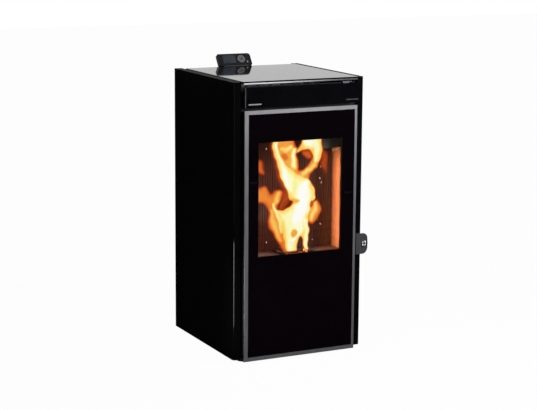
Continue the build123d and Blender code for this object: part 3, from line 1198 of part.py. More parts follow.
def control_housing():
    """The tilted plastic case with its neck on the rear rail."""
    case = extrude(control_outline(0), -CONTROL_THICK)
    case -= extrude(control_outline(CONTROL_BORDER), -CONTROL_RECESS)
    floor = -CONTROL_RECESS
    pocket = Rectangle(DISPLAY_WIDTH + KEY_GAP, DISPLAY_HEIGHT + KEY_GAP)
    case -= Pos(DISPLAY_X, DISPLAY_Y, floor) * extrude(pocket, -DISPLAY_T)
    well = -KEY_DEPTH - KEY_TRAVEL - KEY_GAP
    for i in range(4):
        case -= Pos(KEYPAD_X, KEYPAD_Y, 0) * Rot(0, 0, 90 * i) * extrude(key_quarter(KEY_GAP), well)
    case -= Pos(KEYPAD_X, KEYPAD_Y, 0) * extrude(Circle(OK_R + KEY_GAP), well)
    case -= Pos(POWER_X, POWER_Y, 0) * extrude(Circle(POWER_R + KEY_GAP), well)
    neck = block(span(PANEL_X, NECK_WIDTH), (BODY_DEPTH - NECK_DEPTH, BODY_DEPTH), (RAIL_TOP, LID_TOP))
    return CONTROL_SEAT * case + neck


def display_window():
    glass = extrude(Rectangle(DISPLAY_WIDTH, DISPLAY_HEIGHT), -DISPLAY_T)
    return CONTROL_SEAT * (Pos(DISPLAY_X, DISPLAY_Y, -CONTROL_RECESS) * glass)


def pad_key(turn):
    shape = Rot(0, 0, turn) * key(key_quarter(0), KEY_DEPTH, KEY_PROUD - CONTROL_RECESS)
    return CONTROL_SEAT * (Pos(KEYPAD_X, KEYPAD_Y, 0) * shape)


def round_key(x, y, radius):
    return CONTROL_SEAT * (Pos(x, y, 0) * key(Circle(radius), KEY_DEPTH, KEY_PROUD - CONTROL_RECESS))


# ---------------------------------------------------------------------------- export
PIECES = {
    "base_plate": base_plate, "levelling_feet": levelling_feet, "chassis_sides": chassis_sides,
    "front_plate": front_plate, "rear_panel": rear_panel, "rear_rail": rear_rail,
    "side_panel_left": side_panel, "side_panel_right": lambda: mirror(side_panel(), about=Plane.YZ),
    "fascia_glass": fascia_glass, "fascia_clips": fascia_clips,
    "lid_glass": lid_glass, "lid_frame": lid_frame, "lid_hinge_leaves": lid_hinge_leaves,
    "lid_hinge_brackets": lid_hinge_brackets, "lid_seal": lid_seal, "lid_switch": lid_switch,
    "door_trim": door_trim, "door_glass": door_glass, "door_frame": door_frame, "door_gasket": door_gasket,
    "hinge_brackets": hinge_brackets, "latch_lever": latch_lever, "latch_socket": latch_socket,
    "latch_keeper": latch_keeper,
    "firebox": firebox, "liner_back": liner_back, "liner_sides": liner_sides, "baffle": baffle,
    "smoke_collector": smoke_collector, "pot_shelf": pot_shelf, "burn_pot": burn_pot,
    "ash_drawer": ash_drawer, "igniter": igniter, "exchanger_fins": exchanger_fins,
    "exhaust_duct": exhaust_duct, "exhaust_fan_housing": exhaust_fan_housing,
    "exhaust_impeller": exhaust_impeller, "exhaust_motor": exhaust_motor, "flue_spigot": flue_spigot,
    "air_intake": air_intake, "blower_housing": blower_housing, "blower_rotor": blower_rotor,
    "blower_motor": blower_motor, "hopper": hopper, "hopper_grid": hopper_grid,
    "auger_tube": auger_tube, "auger_screw": auger_screw, "auger_gearmotor": auger_gearmotor,
    "feed_chute": feed_chute, "main_board": main_board, "power_inlet": power_inlet,
    "rocker_switch": rocker_switch, "control_housing": control_housing, "display_window": display_window,
    "key_right": lambda: pad_key(0), "key_up": lambda: pad_key(90), "key_left": lambda: pad_key(180),
    "key_down": lambda: pad_key(270), "key_ok": lambda: round_key(KEYPAD_X, KEYPAD_Y, OK_R),
    "key_power": lambda: round_key(POWER_X, POWER_Y, POWER_R),
}


def solids_of(made):
    """Every separate solid of a piece that may be one shape or a list of them."""
    shapes = made if isinstance(made, list) else [made]
    return [solid for shape in shapes for solid in shape.solids()]


def main():
    os.makedirs("parts", exist_ok=True)
    made = {name: Compound(children=solids_of(make())) for name, make in PIECES.items()}
    boxes = [shape.bounding_box() for shape in made.values()]
    middle_x = (min(b.min.X for b in boxes) + max(b.max.X for b in boxes)) / 2
    middle_y = (min(b.min.Y for b in boxes) + max(b.max.Y for b in boxes)) / 2
    print(f"layout moved by {-middle_x:.3f} in X and {-middle_y:.3f} in Y")
    for name, shape in made.items():
        export_step(shape.moved(Location((-middle_x, -middle_y, 0))), f"parts/{name}.step")
    return middle_x, middle_y


if __name__ == "__main__":
    main()
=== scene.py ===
# %% [markdown]
# # A pellet stove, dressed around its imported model
#
# The stove's construction is already made: every sheet, pin and fan comes in with the frame, at
# its real size and place, in metres. This file gives each of those pieces its finish, replaces the
# two soft seals by a twisted rope and a foam strip, and adds what only a close look shows: the
# fire, its embers and sparks, the small bars on the door's glass, screw heads and key marks.
# Nothing here moves or resizes a piece of the frame.

import json
import random
from math import cos, pi, radians, sin

import bmesh
import bpy
import numpy as np
from mathutils import Matrix, Vector


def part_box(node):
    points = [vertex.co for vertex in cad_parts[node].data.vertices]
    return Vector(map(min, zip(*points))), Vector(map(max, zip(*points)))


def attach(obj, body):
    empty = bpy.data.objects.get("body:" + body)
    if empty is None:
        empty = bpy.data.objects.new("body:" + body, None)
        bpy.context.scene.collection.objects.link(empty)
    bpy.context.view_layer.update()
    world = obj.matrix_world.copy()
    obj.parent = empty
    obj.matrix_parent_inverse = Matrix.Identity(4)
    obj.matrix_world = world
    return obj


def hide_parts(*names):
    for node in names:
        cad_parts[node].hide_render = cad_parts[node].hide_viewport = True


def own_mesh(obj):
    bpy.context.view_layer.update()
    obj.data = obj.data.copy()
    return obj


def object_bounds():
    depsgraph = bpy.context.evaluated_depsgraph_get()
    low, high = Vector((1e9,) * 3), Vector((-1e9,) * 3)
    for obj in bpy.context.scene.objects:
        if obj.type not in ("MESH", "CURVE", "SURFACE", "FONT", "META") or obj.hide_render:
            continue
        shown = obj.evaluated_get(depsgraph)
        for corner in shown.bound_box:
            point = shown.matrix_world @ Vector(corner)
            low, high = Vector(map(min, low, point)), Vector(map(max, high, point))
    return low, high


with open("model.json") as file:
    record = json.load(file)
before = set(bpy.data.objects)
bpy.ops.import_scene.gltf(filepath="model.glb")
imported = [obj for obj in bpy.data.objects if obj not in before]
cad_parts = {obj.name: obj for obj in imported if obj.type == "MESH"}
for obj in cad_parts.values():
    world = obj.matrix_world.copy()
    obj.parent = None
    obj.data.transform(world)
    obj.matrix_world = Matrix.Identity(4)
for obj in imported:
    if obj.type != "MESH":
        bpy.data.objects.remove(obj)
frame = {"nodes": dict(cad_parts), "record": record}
cad_low, cad_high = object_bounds()
SLOT_OF = {row["node"]: row["material_slot"] for row in frame["record"]["subparts"]}
MM = 0.001

# %% [markdown]
# ## One way to say where
#
# A stove is measured from its front. So this file gives places in millimetres from the middle of
# the door, from the face of the door's frame, and from the floor, and the function below turns
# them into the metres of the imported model. The two starting values are read from the door's trim,
# so that they hold if the model changes.

# %% Places from the door's middle, its face and the floor
trim_low, trim_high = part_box("door_trim")
DOOR_MIDDLE = (trim_low.x + trim_high.x) / 2
DOOR_FACE = trim_low.y


def at(x, y, z):
    """A place in metres, from millimetres right of, behind and above the door's foot."""
    return Vector((DOOR_MIDDLE + x * MM, DOOR_FACE + y * MM, z * MM))


print("the door's middle is at", round(DOOR_MIDDLE, 4), "and its face at", round(DOOR_FACE, 4))

# %% [markdown]
# ## Arithmetic on sockets
#
# A shader's pattern is a sum, so it reads best as one. The small class below wraps the end of a
# wire in a node tree. Adding or multiplying two wires adds the Math node that does it, and the
# `node` method of a drawing makes every other kind of node. Colours never pass through a Math
# node, because that would turn them grey: they are mixed by a Mix node.

# %% A wire, and a drawing to put it in
class Wire:
    """The output of a node, as a number that can be calculated with."""

    def __init__(self, drawing, socket):
        self.drawing = drawing
        self.socket = socket

    def maths(self, operation, *others):
        inputs = dict(enumerate((self,) + others))
        return self.drawing.node("Math", {"operation": operation}, inputs)

    def __add__(self, other):
        return self.maths("ADD", other)

    __radd__ = __add__

    def __sub__(self, other):
        return self.maths("SUBTRACT", other)

    def __rsub__(self, other):
        return (self * -1).maths("ADD", other)

    def __mul__(self, other):
        return self.maths("MULTIPLY", other)

    __rmul__ = __mul__

    def rise(self, low, high):
        """0 below low, 1 above high, and a smooth step between them."""
        inputs = {"Value": self, "From Min": low, "From Max": high}
        return self.drawing.node("MapRange", {"interpolation_type": "SMOOTHSTEP"}, inputs)

    def between(self, low, high, edge):
        """1 from low to high, fading out over the given edge on both sides."""
        return self.rise(low - edge, low) * (1 - self.rise(high, high + edge))


class Drawing:
    """A node tree, and the few ways in which this file adds to it."""

    def __init__(self, tree):
        self.nodes = tree.nodes
        self.links = tree.links

    def feed(self, socket, value):
        if isinstance(value, Wire):
            self.links.new(value.socket, socket)
        else:
            socket.default_value = value

    def node(self, kind, settings=None, inputs=None, out=0):
        """Adds a node, with its settings first and its inputs after them."""
        made = self.nodes.new("ShaderNode" + kind)
        for key, value in (settings or {}).items():
            if key == "stops":
                self.set_stops(made.color_ramp, value)
            else:
                setattr(made, key, value)
        for key, value in (inputs or {}).items():
            self.feed(made.inputs[key], value)
        return Wire(self, made.outputs[out])

    def set_stops(self, ramp, stops):
        while len(ramp.elements) < len(stops):
            ramp.elements.new(1.0)
        for element, (place, colour) in zip(ramp.elements, stops):
            element.position = place
            element.color = colour

    def place(self, stretch=(1, 1, 1)):
        """The point's own place on the object, in metres, stretched for patterns."""
        here = self.node("TexCoord", out="Object")
        return self.node("Mapping", {}, {"Vector": here, "Scale": stretch})

    def axes(self, source="Object"):
        """The point's own X, Y and Z as three wires."""
        here = self.node("TexCoord", out=source)
        x = self.node("SeparateXYZ", {}, {0: here})
        return [Wire(self, end) for end in x.socket.node.outputs]

    def noise(self, scale, detail=3.0, stretch=(1, 1, 1)):
        """A cloudy pattern, about scale clouds to the metre, between 0 and 1."""
        inputs = {"Vector": self.place(stretch), "Scale": scale, "Detail": detail}
        return self.node("TexNoise", {}, inputs)

    def cells(self, scale, stretch=(1, 1, 1)):
        """The distance to the nearest of many scattered points."""
        inputs = {"Vector": self.place(stretch), "Scale": scale}
        return self.node("TexVoronoi", {"feature": "F1"}, inputs, out="Distance")

    def blend(self, share, first, second):
        """From the first colour to the second, as share goes from 0 to 1."""
        settings = {"data_type": "RGBA", "clamp_factor": True}
        return self.node("Mix", settings, {0: share, 6: first, 7: second}, out=2)

    def ramp(self, share, stops):
        return self.node("ValToRGB", {"stops": stops}, {"Fac": share})


class Finish(Drawing):
    """One material of the stove."""

    def __init__(self, name):
        self.material = bpy.data.materials.new(name)
        self.material.use_nodes = True
        super().__init__(self.material.node_tree)
        self.shader = self.nodes["Principled BSDF"]

    def bump(self, height, distance, strength=1.0):
        inputs = {"Height": height, "Distance": distance, "Strength": strength}
        self.feed(self.shader.inputs["Normal"], self.node("Bump", {}, inputs))

    def set(self, **values):
        """Feeds the surface's own sockets: base_color= feeds Base Color."""
        for key, value in values.items():
            label = key.replace("_", " ").title().replace("Ior", "IOR")
            self.feed(self.shader.inputs[label], value)


def shade(red, green, blue, alpha=1.0):
    """A screen colour, 0 to 255, as the light that a shader works with."""
    def linear(value):
        value = value / 255
        return value / 12.92 if value <= 0.04045 else ((value + 0.055) / 1.055) ** 2.4
    return (linear(red), linear(green), linear(blue), alpha)


print("a mid grey of 128 is", round(shade(128, 128, 128)[0], 3), "in light")

# %% [markdown]
# ## The camera
#
# The photograph was taken from the stove's front left, a little above its lid, through a long
# lens. Its place, its three angles and its lens were fitted to the straight edges of the body. The
# camera's own axes are built from the angles, so that its small roll comes last.

# %% Place the camera
YAW, PITCH, ROLL = 26.382, 10.833, 0.394
CAMERA_PLACE = (DOOR_MIDDLE - 2.02028, -4.10071, 1.29104)
LENS, SENSOR = 104.64, 36
yaw, pitch, roll = radians(YAW), radians(PITCH), radians(ROLL)
forward = Vector((sin(yaw) * cos(pitch), cos(yaw) * cos(pitch), -sin(pitch)))
level = Vector((cos(yaw), -sin(yaw), 0))
upward = level.cross(forward)
camera_x = cos(roll) * level + sin(roll) * upward
camera_y = cos(roll) * upward - sin(roll) * level

bpy.ops.object.camera_add(location=CAMERA_PLACE)
camera = bpy.context.object
camera.rotation_euler = Matrix((camera_x, camera_y, -forward)).transposed().to_euler()
camera.data.lens = LENS
camera.data.sensor_width = SENSOR
bpy.context.scene.camera = camera
print("camera", [round(value, 3) for value in camera.location], "lens", camera.data.lens)

# %% [markdown]
# ## The studio
#
# The photograph is a cut-out: the stove stands before pure white, with hardly a shadow. So the
# floor shines white to the camera, over a share of real white floor that takes the shadow. A black
# enamel side that leans away from the camera mirrors the floor in front of it, and in the
# photograph it mirrors nothing, so rays that come off gloss find a dark floor. The lid mirrors the
# wall behind the stove instead, and that wall is white down to the horizon and greyer higher up.
# The room in front of the stove is dark to gloss too, because the door's glass mirrors hardly
# anything.

# %% The floor and the air
FLOOR_SIZE, PAPER = 24, (0.92, 0.92, 0.92, 1.0)
FLOOR_SHINE, FLOOR_MIRRORED = 0.975, 0.004
WALL_MIRRORED, WALL_FALL, ROOM_MIRRORED, ROOM_LIGHT = 0.86, 0.6, 0.08, 0.18
WHITE = (1, 1, 1, 1)

bpy.context.scene.view_settings.view_transform = "Standard"
bpy.ops.object.select_all(action="DESELECT")
bpy.ops.mesh.primitive_plane_add(size=FLOOR_SIZE, location=(0, 0, cad_low.z))
floor = bpy.context.object
floor.name = "studio_floor"
paper = Finish("studio_paper")
camera_ray = paper.node("LightPath", out="Is Camera Ray")
glossy_ray = paper.node("LightPath", out="Is Glossy Ray")
paper.set(base_color=PAPER, roughness=0.9, specular_ior_level=0.0)
glow = paper.node("Emission", {}, {"Color": WHITE, "Strength": 1.0})
dusk = paper.node("Emission", {}, {"Color": WHITE, "Strength": FLOOR_MIRRORED})
lit = Wire(paper, paper.shader.outputs[0])
seen = paper.node("MixShader", {}, {0: camera_ray * FLOOR_SHINE, 1: lit, 2: glow})
mixed = paper.node("MixShader", {}, {0: glossy_ray, 1: seen, 2: dusk})
paper.feed(paper.nodes["Material Output"].inputs["Surface"], mixed)
floor.data.materials.append(paper.material)

world = bpy.data.worlds.new("studio_air")
world.use_nodes = True
bpy.context.scene.world = world
air = Drawing(world.node_tree)
along, height = air.axes("Generated")[1:]
wall = WALL_MIRRORED - WALL_FALL * height.rise(0.3, 0.9)
mirrored = wall * (ROOM_MIRRORED + (1 - ROOM_MIRRORED) * along.rise(-0.35, 0.15))
camera_ray = air.node("LightPath", out="Is Camera Ray")
glossy_ray = air.node("LightPath", out="Is Glossy Ray")
others = glossy_ray * mirrored + (1 - glossy_ray) * ROOM_LIGHT
backdrop = world.node_tree.nodes["Background"]
air.feed(backdrop.inputs["Strength"], camera_ray + (1 - camera_ray) * others)
air.feed(backdrop.inputs["Color"], WHITE)
print("floor at", round(cad_low.z, 4))

# %% [markdown]
# Four kinds of lamp light the stove. A large soft one at the front right fills. A small one, a
# metre before the door's upper edge, gives the satin frame its fall from light at the top to dark
# at the foot. Two narrow ones on the left, one tall and one low, make the thin upright line that
# the rounded edge of the side panel mirrors. The low one has a narrow beam, so that the panel's
# flat side doesn't show it from behind. Small warm ones stand in the fire chamber, where the fire
# is, and turn its walls orange. A lamp is set by the light that leaves each square metre of it,
# because that is what a gloss surface shows of it.

# %% The lamps
def lamp(name, place, aim, width, height, shine, colour=(1, 1, 1), spread=180):
    """An area lamp whose face shines with the given strength, aimed at a place."""
    bpy.ops.object.light_add(type="AREA", location=place)
    made = bpy.context.object
    made.name = name
    made.rotation_euler = (aim - place).to_track_quat("-Z", "Y").to_euler()
    made.data.shape = "RECTANGLE"
    made.data.size = width
    made.data.size_y = height
    made.data.energy = shine * pi * width * height
    made.data.color = colour
    made.data.spread = radians(spread)
    made.visible_camera = False


middle = at(0, 200, 450)
lamp("softbox", Vector((1.35, -2.6, 2.1)), middle, 1.5, 1.5, 5)
lamp("brow_box", Vector((0.44, -1.13, 1.0)), at(0, 0, 735), 0.5, 0.3, 13)
lamp("edge_strip", Vector((-1.61, -0.92, 1.0)), middle, 0.25, 2.0, 0.55)
lamp("foot_strip", Vector((-0.477, -0.347, 0.17)), at(-200, 16, 170), 0.1, 0.26, 0.7,
     spread=40)
FIRELIGHT = (1.0, 0.36, 0.13)
lamp("fire_right", at(60, 84, 448), at(165, 84, 443), 0.03, 0.30, 18, FIRELIGHT, 48)
lamp("fire_left", at(-20, 84, 430), at(-165, 84, 420), 0.03, 0.26, 8, FIRELIGHT, 40)
lamp("fire_back", at(-10, 70, 470), at(-10, 120, 470), 0.24, 0.34, 0.6, (1.0, 0.2, 0.08))

# %% [markdown]
# ## Painted metal
#
# The sides are enamelled: almost black, very glossy, with the faint waves that a sprayed coat
# leaves, called orange peel, and matt on the upper fold, where the spray hardly reaches. The back,
# the door's inner frame and the plates that get hot have a matt stove paint instead, which is
# grainy and a little patchy. Both are drawn with noise: clouds a few centimetres wide for the
# patches, and much finer grains for the bump.

# %% Gloss enamel and stove paint
panel_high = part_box("side_panel_left")[1]
FOLD_STARTS, FOLD_FULL = panel_high.z - 0.8 * MM, panel_high.z - 0.3 * MM


def gloss_enamel():
    finish = Finish("black_gloss_enamel")
    cloud = finish.noise(8, 2)
    fold = finish.axes()[2].rise(FOLD_STARTS, FOLD_FULL)
    finish.set(base_color=finish.blend(cloud, shade(5, 5, 6), shade(10, 10, 12)))
    finish.set(roughness=0.06 + 0.07 * finish.noise(26, 4) + 0.7 * fold)
    finish.bump(finish.noise(380, 2), 0.00003, 0.35)
    return finish.material


def stove_paint():
    finish = Finish("black_stove_paint")
    cloud, grain = finish.noise(14, 4), finish.noise(2100, 2)
    finish.set(base_color=finish.blend(cloud, shade(20, 20, 21), shade(36, 35, 35)))
    finish.set(roughness=0.5 + 0.18 * finish.noise(60, 3))
    finish.bump(grain, 0.00012, 0.5)
    return finish.material


MATERIAL = {"black_gloss_paint": gloss_enamel(), "black_matt_paint": stove_paint()}
print("made", sorted(MATERIAL))

# %% [markdown]
# ## Bare metal
#
# Sheet that nobody sees is zinc plated, with the pale flakes that zinc forms as it cools. The
# door's frame is satin: blasted and lacquered, so that it is soft and even, with a short grain
# along its bars. Hot parts are mill steel, grey with darker scale and a brown cast near the fire.
# One function draws them all, from two colours, a polish and a grain, because what differs
# between them is only that.

# %% Plated, satin and scaled steel
def steel(name, dark, light, polish, grain=(1, 1, 1), scale=60, depth=0.00004, metal=1.0):
    """A bare metal whose two tones and roughness follow one grain."""
    finish = Finish(name)
    broad, fine = finish.noise(scale, 4, grain), finish.noise(scale * 22, 3, grain)
    finish.set(base_color=finish.blend(0.7 * broad + 0.3 * fine, dark, light))
    finish.set(metallic=metal, roughness=polish - 0.07 + 0.14 * broad)
    finish.bump(fine, depth, 0.5)
    return finish.material


def zinc():
    finish = Finish("zinc_plated_sheet")
    flake = finish.cells(110)
    finish.set(base_color=finish.blend(flake * 1.4, shade(128, 131, 134), shade(176, 178, 180)))
    finish.set(metallic=1.0, roughness=0.36 + 0.2 * flake)
    finish.bump(finish.noise(900, 2), 0.00003, 0.4)
    return finish.material


SATIN, SATIN_METAL = shade(134, 134, 138), 0.75
UPRIGHT_GRAIN, LYING_GRAIN = (1, 1, 0.15), (0.2, 1, 1)
MATERIAL["zinc_sheet"] = zinc()
MATERIAL["satin_silver"] = steel(
    "satin_silver", SATIN, shade(154, 154, 158), 0.44, UPRIGHT_GRAIN, 160, metal=SATIN_METAL)
MATERIAL["grey_steel"] = steel(
    "grey_mill_steel", shade(92, 90, 84), shade(136, 133, 126), 0.52, scale=40, depth=0.0001)
MATERIAL["latch_steel"] = steel(
    "dark_latch_steel", shade(104, 104, 107), shade(132, 132, 135), 0.4, (1, 1, 0.2), 180,
    metal=0.8)
MATERIAL["bright_steel"] = steel(
    "bright_steel", shade(172, 172, 174), shade(206, 206, 208), 0.3, LYING_GRAIN, 200)
MATERIAL["motor_steel"] = steel(
    "motor_steel", shade(104, 106, 110), shade(140, 142, 146), 0.42, (1, 1, 0.3), 120)
print("made", sorted(MATERIAL))

# %% [markdown]
# ## Where the fire burns
#
# The pot is cast iron, rough from its sand mould and grey with ash. The chamber is lined with
# boards of pressed vermiculite, a pale brown mineral with small shiny flakes. They are laid in
# low courses near the foot, so the pattern takes thin dark lines at those heights, and soot
# darkens them towards the top, where the smoke leaves.

# %% Cast iron and fire board
def cast_iron():
    finish = Finish("ashy_cast_iron")
    ash = finish.noise(45, 5).rise(0.42, 0.72)
    finish.set(base_color=finish.blend(ash, shade(38, 35, 34), shade(92, 84, 78)))
    finish.set(roughness=0.78, metallic=0.25)
    finish.bump(finish.noise(520, 4), 0.0005, 0.6)
    return finish.material


COURSES, SEAM_HALF, SEAM_EDGE = (327, 351, 377), 0.7, 0.4


def fire_board():
    finish = Finish("vermiculite_board")
    z = finish.axes()[2]
    flakes = finish.cells(420, (1, 1, 2.2))
    body = finish.blend(flakes * 1.3, shade(76, 60, 54), shade(104, 84, 74))
    soot = finish.noise(9, 4) * 0.3 + z.rise(0.52, 0.66) * 0.85
    sooty = finish.blend(soot, body, shade(30, 23, 20))
    seams = 0.0
    for course in COURSES:
        low, high = (course - SEAM_HALF) * MM, (course + SEAM_HALF) * MM
        seams = seams + z.between(low, high, SEAM_EDGE * MM)
    finish.set(base_color=finish.blend(seams * 0.45, sooty, shade(34, 26, 22)), roughness=0.88)
    finish.bump(flakes * 0.6 + finish.noise(160, 4) - seams, 0.0006, 0.55)
    return finish.material


MATERIAL["cast_iron"] = cast_iron()
MATERIAL["fire_brick"] = fire_board()
print("fire board has seams at", COURSES, "mm")

# %% [markdown]
# ## Glass
#
# The lid and the strip above the door are black glass: polished plates printed black behind, so
# they mirror what stands around them and are black where nothing does. The strip has a painted
# highlight, a pale band along its left ground edge. The door's plate is the same, but the print is
# only a border, and the window in its middle is clear with a light smoke tint. The border is part
# of
# the pattern: one mask of X and Z is 1 inside the clear window, and lowers the plate's Alpha there.

# %% Black plates and the door's window
EDGE_HIGHLIGHT_WIDTH = 1.2


def black_glass(name, body, highlight_edge_at=None):
    finish = Finish(name)
    smear = finish.noise(22, 4)
    colour = finish.blend(smear, body, shade(14, 14, 17))
    # Painted highlight: a pale band along the plate's left ground edge, where light catches it.
    if highlight_edge_at is not None:
        inner = finish.axes()[0].rise(highlight_edge_at, highlight_edge_at + EDGE_HIGHLIGHT_WIDTH * MM)
        colour = finish.blend(1 - inner, colour, shade(132, 134, 138))
    finish.set(base_color=colour, roughness=0.02 + 0.05 * smear)
    finish.bump(finish.noise(30, 2), 0.00002, 0.2)
    return finish.material


WINDOW_LEFT, WINDOW_RIGHT, WINDOW_FOOT, WINDOW_TOP, WINDOW_EDGE = -133.5, 133.5, 317, 642.5, 0.6


def door_plate():
    finish = Finish("door_plate_glass")
    x, y, z = finish.axes()
    low, high = at(WINDOW_LEFT, 0, WINDOW_FOOT), at(WINDOW_RIGHT, 0, WINDOW_TOP)
    clear = x.between(low.x, high.x, WINDOW_EDGE * MM) * z.between(low.z, high.z, WINDOW_EDGE * MM)
    smear = finish.noise(20, 4)
    printed = finish.blend(smear, shade(7, 3, 6), shade(11, 6, 10))
    finish.set(base_color=finish.blend(clear, printed, shade(34, 24, 26)))
    finish.set(roughness=0.02 + 0.05 * smear, alpha=1 - clear * (0.95 - 0.04 * smear))
    finish.bump(finish.noise(30, 2), 0.00002, 0.15)
    return finish.material


fascia_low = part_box("fascia_glass")[0]
MATERIAL["black_glass"] = black_glass("black_lid_glass", shade(7, 7, 9))
MATERIAL["fascia"] = black_glass("black_fascia_glass", shade(5, 5, 7), fascia_low.x)
MATERIAL["door_glass"] = door_plate()
print("clear window from", WINDOW_LEFT, "to", WINDOW_RIGHT, "mm across")

# %% [markdown]
# ## Plastic, keys and the board
#
# Moulded plastic is never quite smooth: the mould is etched to hide marks, and that texture is a
# fine bump. The display is a grey liquid crystal under a clear cover: its cells are a grid that is
# only just seen while it is off. The keys are soft rubber, a little paler at their rims. The
# circuit board is green lacquer with fine copper tracks.

# %% Moulded plastic, display, keys and board
def plastic(name, dark, light, polish):
    finish = Finish(name)
    cloud = finish.noise(90, 3)
    finish.set(base_color=finish.blend(cloud, dark, light))
    finish.set(roughness=polish - 0.05 + 0.1 * cloud)
    finish.bump(finish.noise(1500, 2), 0.00006, 0.6)
    return finish.material


def display():
    finish = Finish("grey_display")
    lines = (finish.axes()[0] * 900).maths("PINGPONG", 0.5) * 2
    cloud = finish.noise(35, 3)
    sheen = finish.blend(cloud, shade(58, 64, 72), shade(82, 88, 98))
    finish.set(base_color=finish.blend(lines * 0.12, sheen, shade(28, 32, 38)))
    finish.set(roughness=0.12 + 0.08 * cloud, coat_weight=0.6)
    finish.bump(lines, 0.00001, 0.2)
    return finish.material


def board():
    finish = Finish("green_board")
    waves = (finish.axes()[1] * 260).maths("PINGPONG", 0.5) * 2
    tracks = waves.rise(0.55, 0.7) * finish.noise(60, 1).rise(0.45, 0.5)
    body = finish.blend(finish.noise(30, 3), shade(24, 74, 44), shade(34, 92, 56))
    finish.set(base_color=finish.blend(tracks * 0.6, body, shade(88, 128, 84)))
    finish.set(roughness=0.42 - 0.12 * tracks)
    finish.bump(tracks, 0.00006, 0.5)
    return finish.material


MATERIAL["black_plastic"] = plastic(
    "black_case_plastic", shade(22, 23, 26), shade(32, 33, 37), 0.36)
MATERIAL["matt_plastic"] = plastic("matt_plastic", shade(24, 24, 25), shade(38, 38, 39), 0.62)
MATERIAL["key_grey"] = plastic("grey_key_rubber", shade(112, 108, 112), shade(138, 134, 138), 0.5)
MATERIAL["display"] = display()
MATERIAL["board_green"] = board()
print("made", sorted(MATERIAL))

# %% [markdown]
# ## Finishes onto the frame
#
# Each node of the imported model says in the record which finish it has. Some nodes share a finish
# with others but differ in a detail of their own. The strip of glass above the door has a painted
# highlight along its left ground edge. The frame under the lid is bare where its front edge was
# cut, and that edge has a painted highlight at the left that turns to painted shade at the right.
# The satin frame's lip is painted black behind its face. The plate behind the door is near black,
# as painted shade for the gaps round the door. The two small bars on the strip are one satin metal,
# with a painted highlight on the left one and painted shade on the right one.

# %% Give every node its finish
def cut_frame():
    finish = Finish("lid_frame_steel_painted_highlight")
    cut = 1 - finish.axes()[1].rise(DOOR_FACE + 4.2 * MM, DOOR_FACE + 5.4 * MM)
    body = finish.blend(finish.noise(60, 4), shade(92, 90, 86), shade(124, 121, 116))
    # Painted highlight and shade: the cut front edge is bare metal, painted brightest at the left
    # and dark at the right.
    right = finish.axes()[0].rise(at(-170, 0, 0).x, at(170, 0, 0).x)
    bare = finish.blend(right, shade(196, 196, 200), shade(72, 72, 76))
    finish.set(base_color=finish.blend(cut, body, bare))
    finish.set(metallic=0.6, roughness=0.45)
    finish.bump(finish.noise(1200, 2), 0.00004, 0.4)
    return finish.material


def two_tone(name, axis, low, high, first, second, polish, metal):
    """A metal that goes from one colour to another between two places along an axis."""
    finish = Finish(name)
    grain = finish.noise(160, 4, UPRIGHT_GRAIN)
    light = finish.blend(grain, first, shade(160, 160, 164))
    dark = finish.blend(grain, second, shade(14, 14, 15))
    share = finish.axes()[axis].rise(low, high)
    finish.set(base_color=finish.blend(share, light, dark))
    finish.set(metallic=metal * (1 - share), roughness=polish - 0.07 + 0.14 * grain)
    finish.bump(finish.noise(3500, 3, UPRIGHT_GRAIN), 0.00004, 0.5)
    return finish.material


OWN = {"fascia_glass": MATERIAL["fascia"], "lid_frame": cut_frame(),
       "door_trim": two_tone("lipped_satin_silver", 1, DOOR_FACE + 0.6 * MM, DOOR_FACE + 1.0 * MM,
                             SATIN, shade(8, 8, 9), 0.44, SATIN_METAL),
       # Painted highlight on the left clip and painted shade on the right one: one satin metal,
       # light left of the middle.
       "fascia_clips": two_tone("clip_satin_silver_painted_highlight", 0, at(0, 0, 0).x, at(60, 0, 0).x,
                                shade(140, 138, 146), shade(38, 38, 42), 0.4, SATIN_METAL),
       "lid_switch": steel("lid_switch_steel", shade(92, 90, 100), shade(112, 110, 120), 0.4),
       # Painted shade: the plate behind the door is near black, so the gaps round the door look
       # shaded.
       "front_plate": steel("front_plate_painted_shade", shade(7, 7, 8), shade(12, 12, 13), 0.7, scale=30,
                            depth=0.0001, metal=0.0),
       "pot_shelf": steel("ashy_shelf_steel", shade(88, 80, 80), shade(108, 100, 100), 0.75,
                          scale=30, depth=0.0001, metal=0.1),
       "smoke_collector": steel("sooty_hood_steel", shade(96, 92, 82), shade(128, 124, 112), 0.6,
                                scale=30, depth=0.0001, metal=0.15)}
for name, node in frame["nodes"].items():
    finish = OWN.get(name) or MATERIAL.get(SLOT_OF[name])
    if finish is None:
        continue
    for slot in node.material_slots:
        slot.material = finish
    if not node.material_slots:
        node.data.materials.append(finish)
print("left for the soft pieces:", [n for n in SLOT_OF if SLOT_OF[n] not in MATERIAL])

# %% [markdown]
# ## Tools for the new pieces
#
# Each new piece starts as a primitive and is shaped in edit mode, as by hand. A few helpers keep
# that short. `begin` adds the primitive alone. `pick` selects, in edit mode, just the faces that
# pass a test on their middle and their normal. `modify` adds a modifier and applies it. `join`
# makes one object of several, and `copy_to` repeats a piece. `settle` puts the finished piece's
# place into its mesh, and gives it a finish and a body to ride on.

# %% Helpers for shaping
def alone(obj):
    bpy.ops.object.select_all(action="DESELECT")
    obj.select_set(True)
    bpy.context.view_layer.objects.active = obj


def begin(kind, name, **sizes):
    """A new primitive, the only thing that is selected."""
    bpy.ops.object.select_all(action="DESELECT")
    getattr(bpy.ops.mesh, "primitive_" + kind + "_add")(**sizes)
    bpy.context.object.name = name
    return bpy.context.object


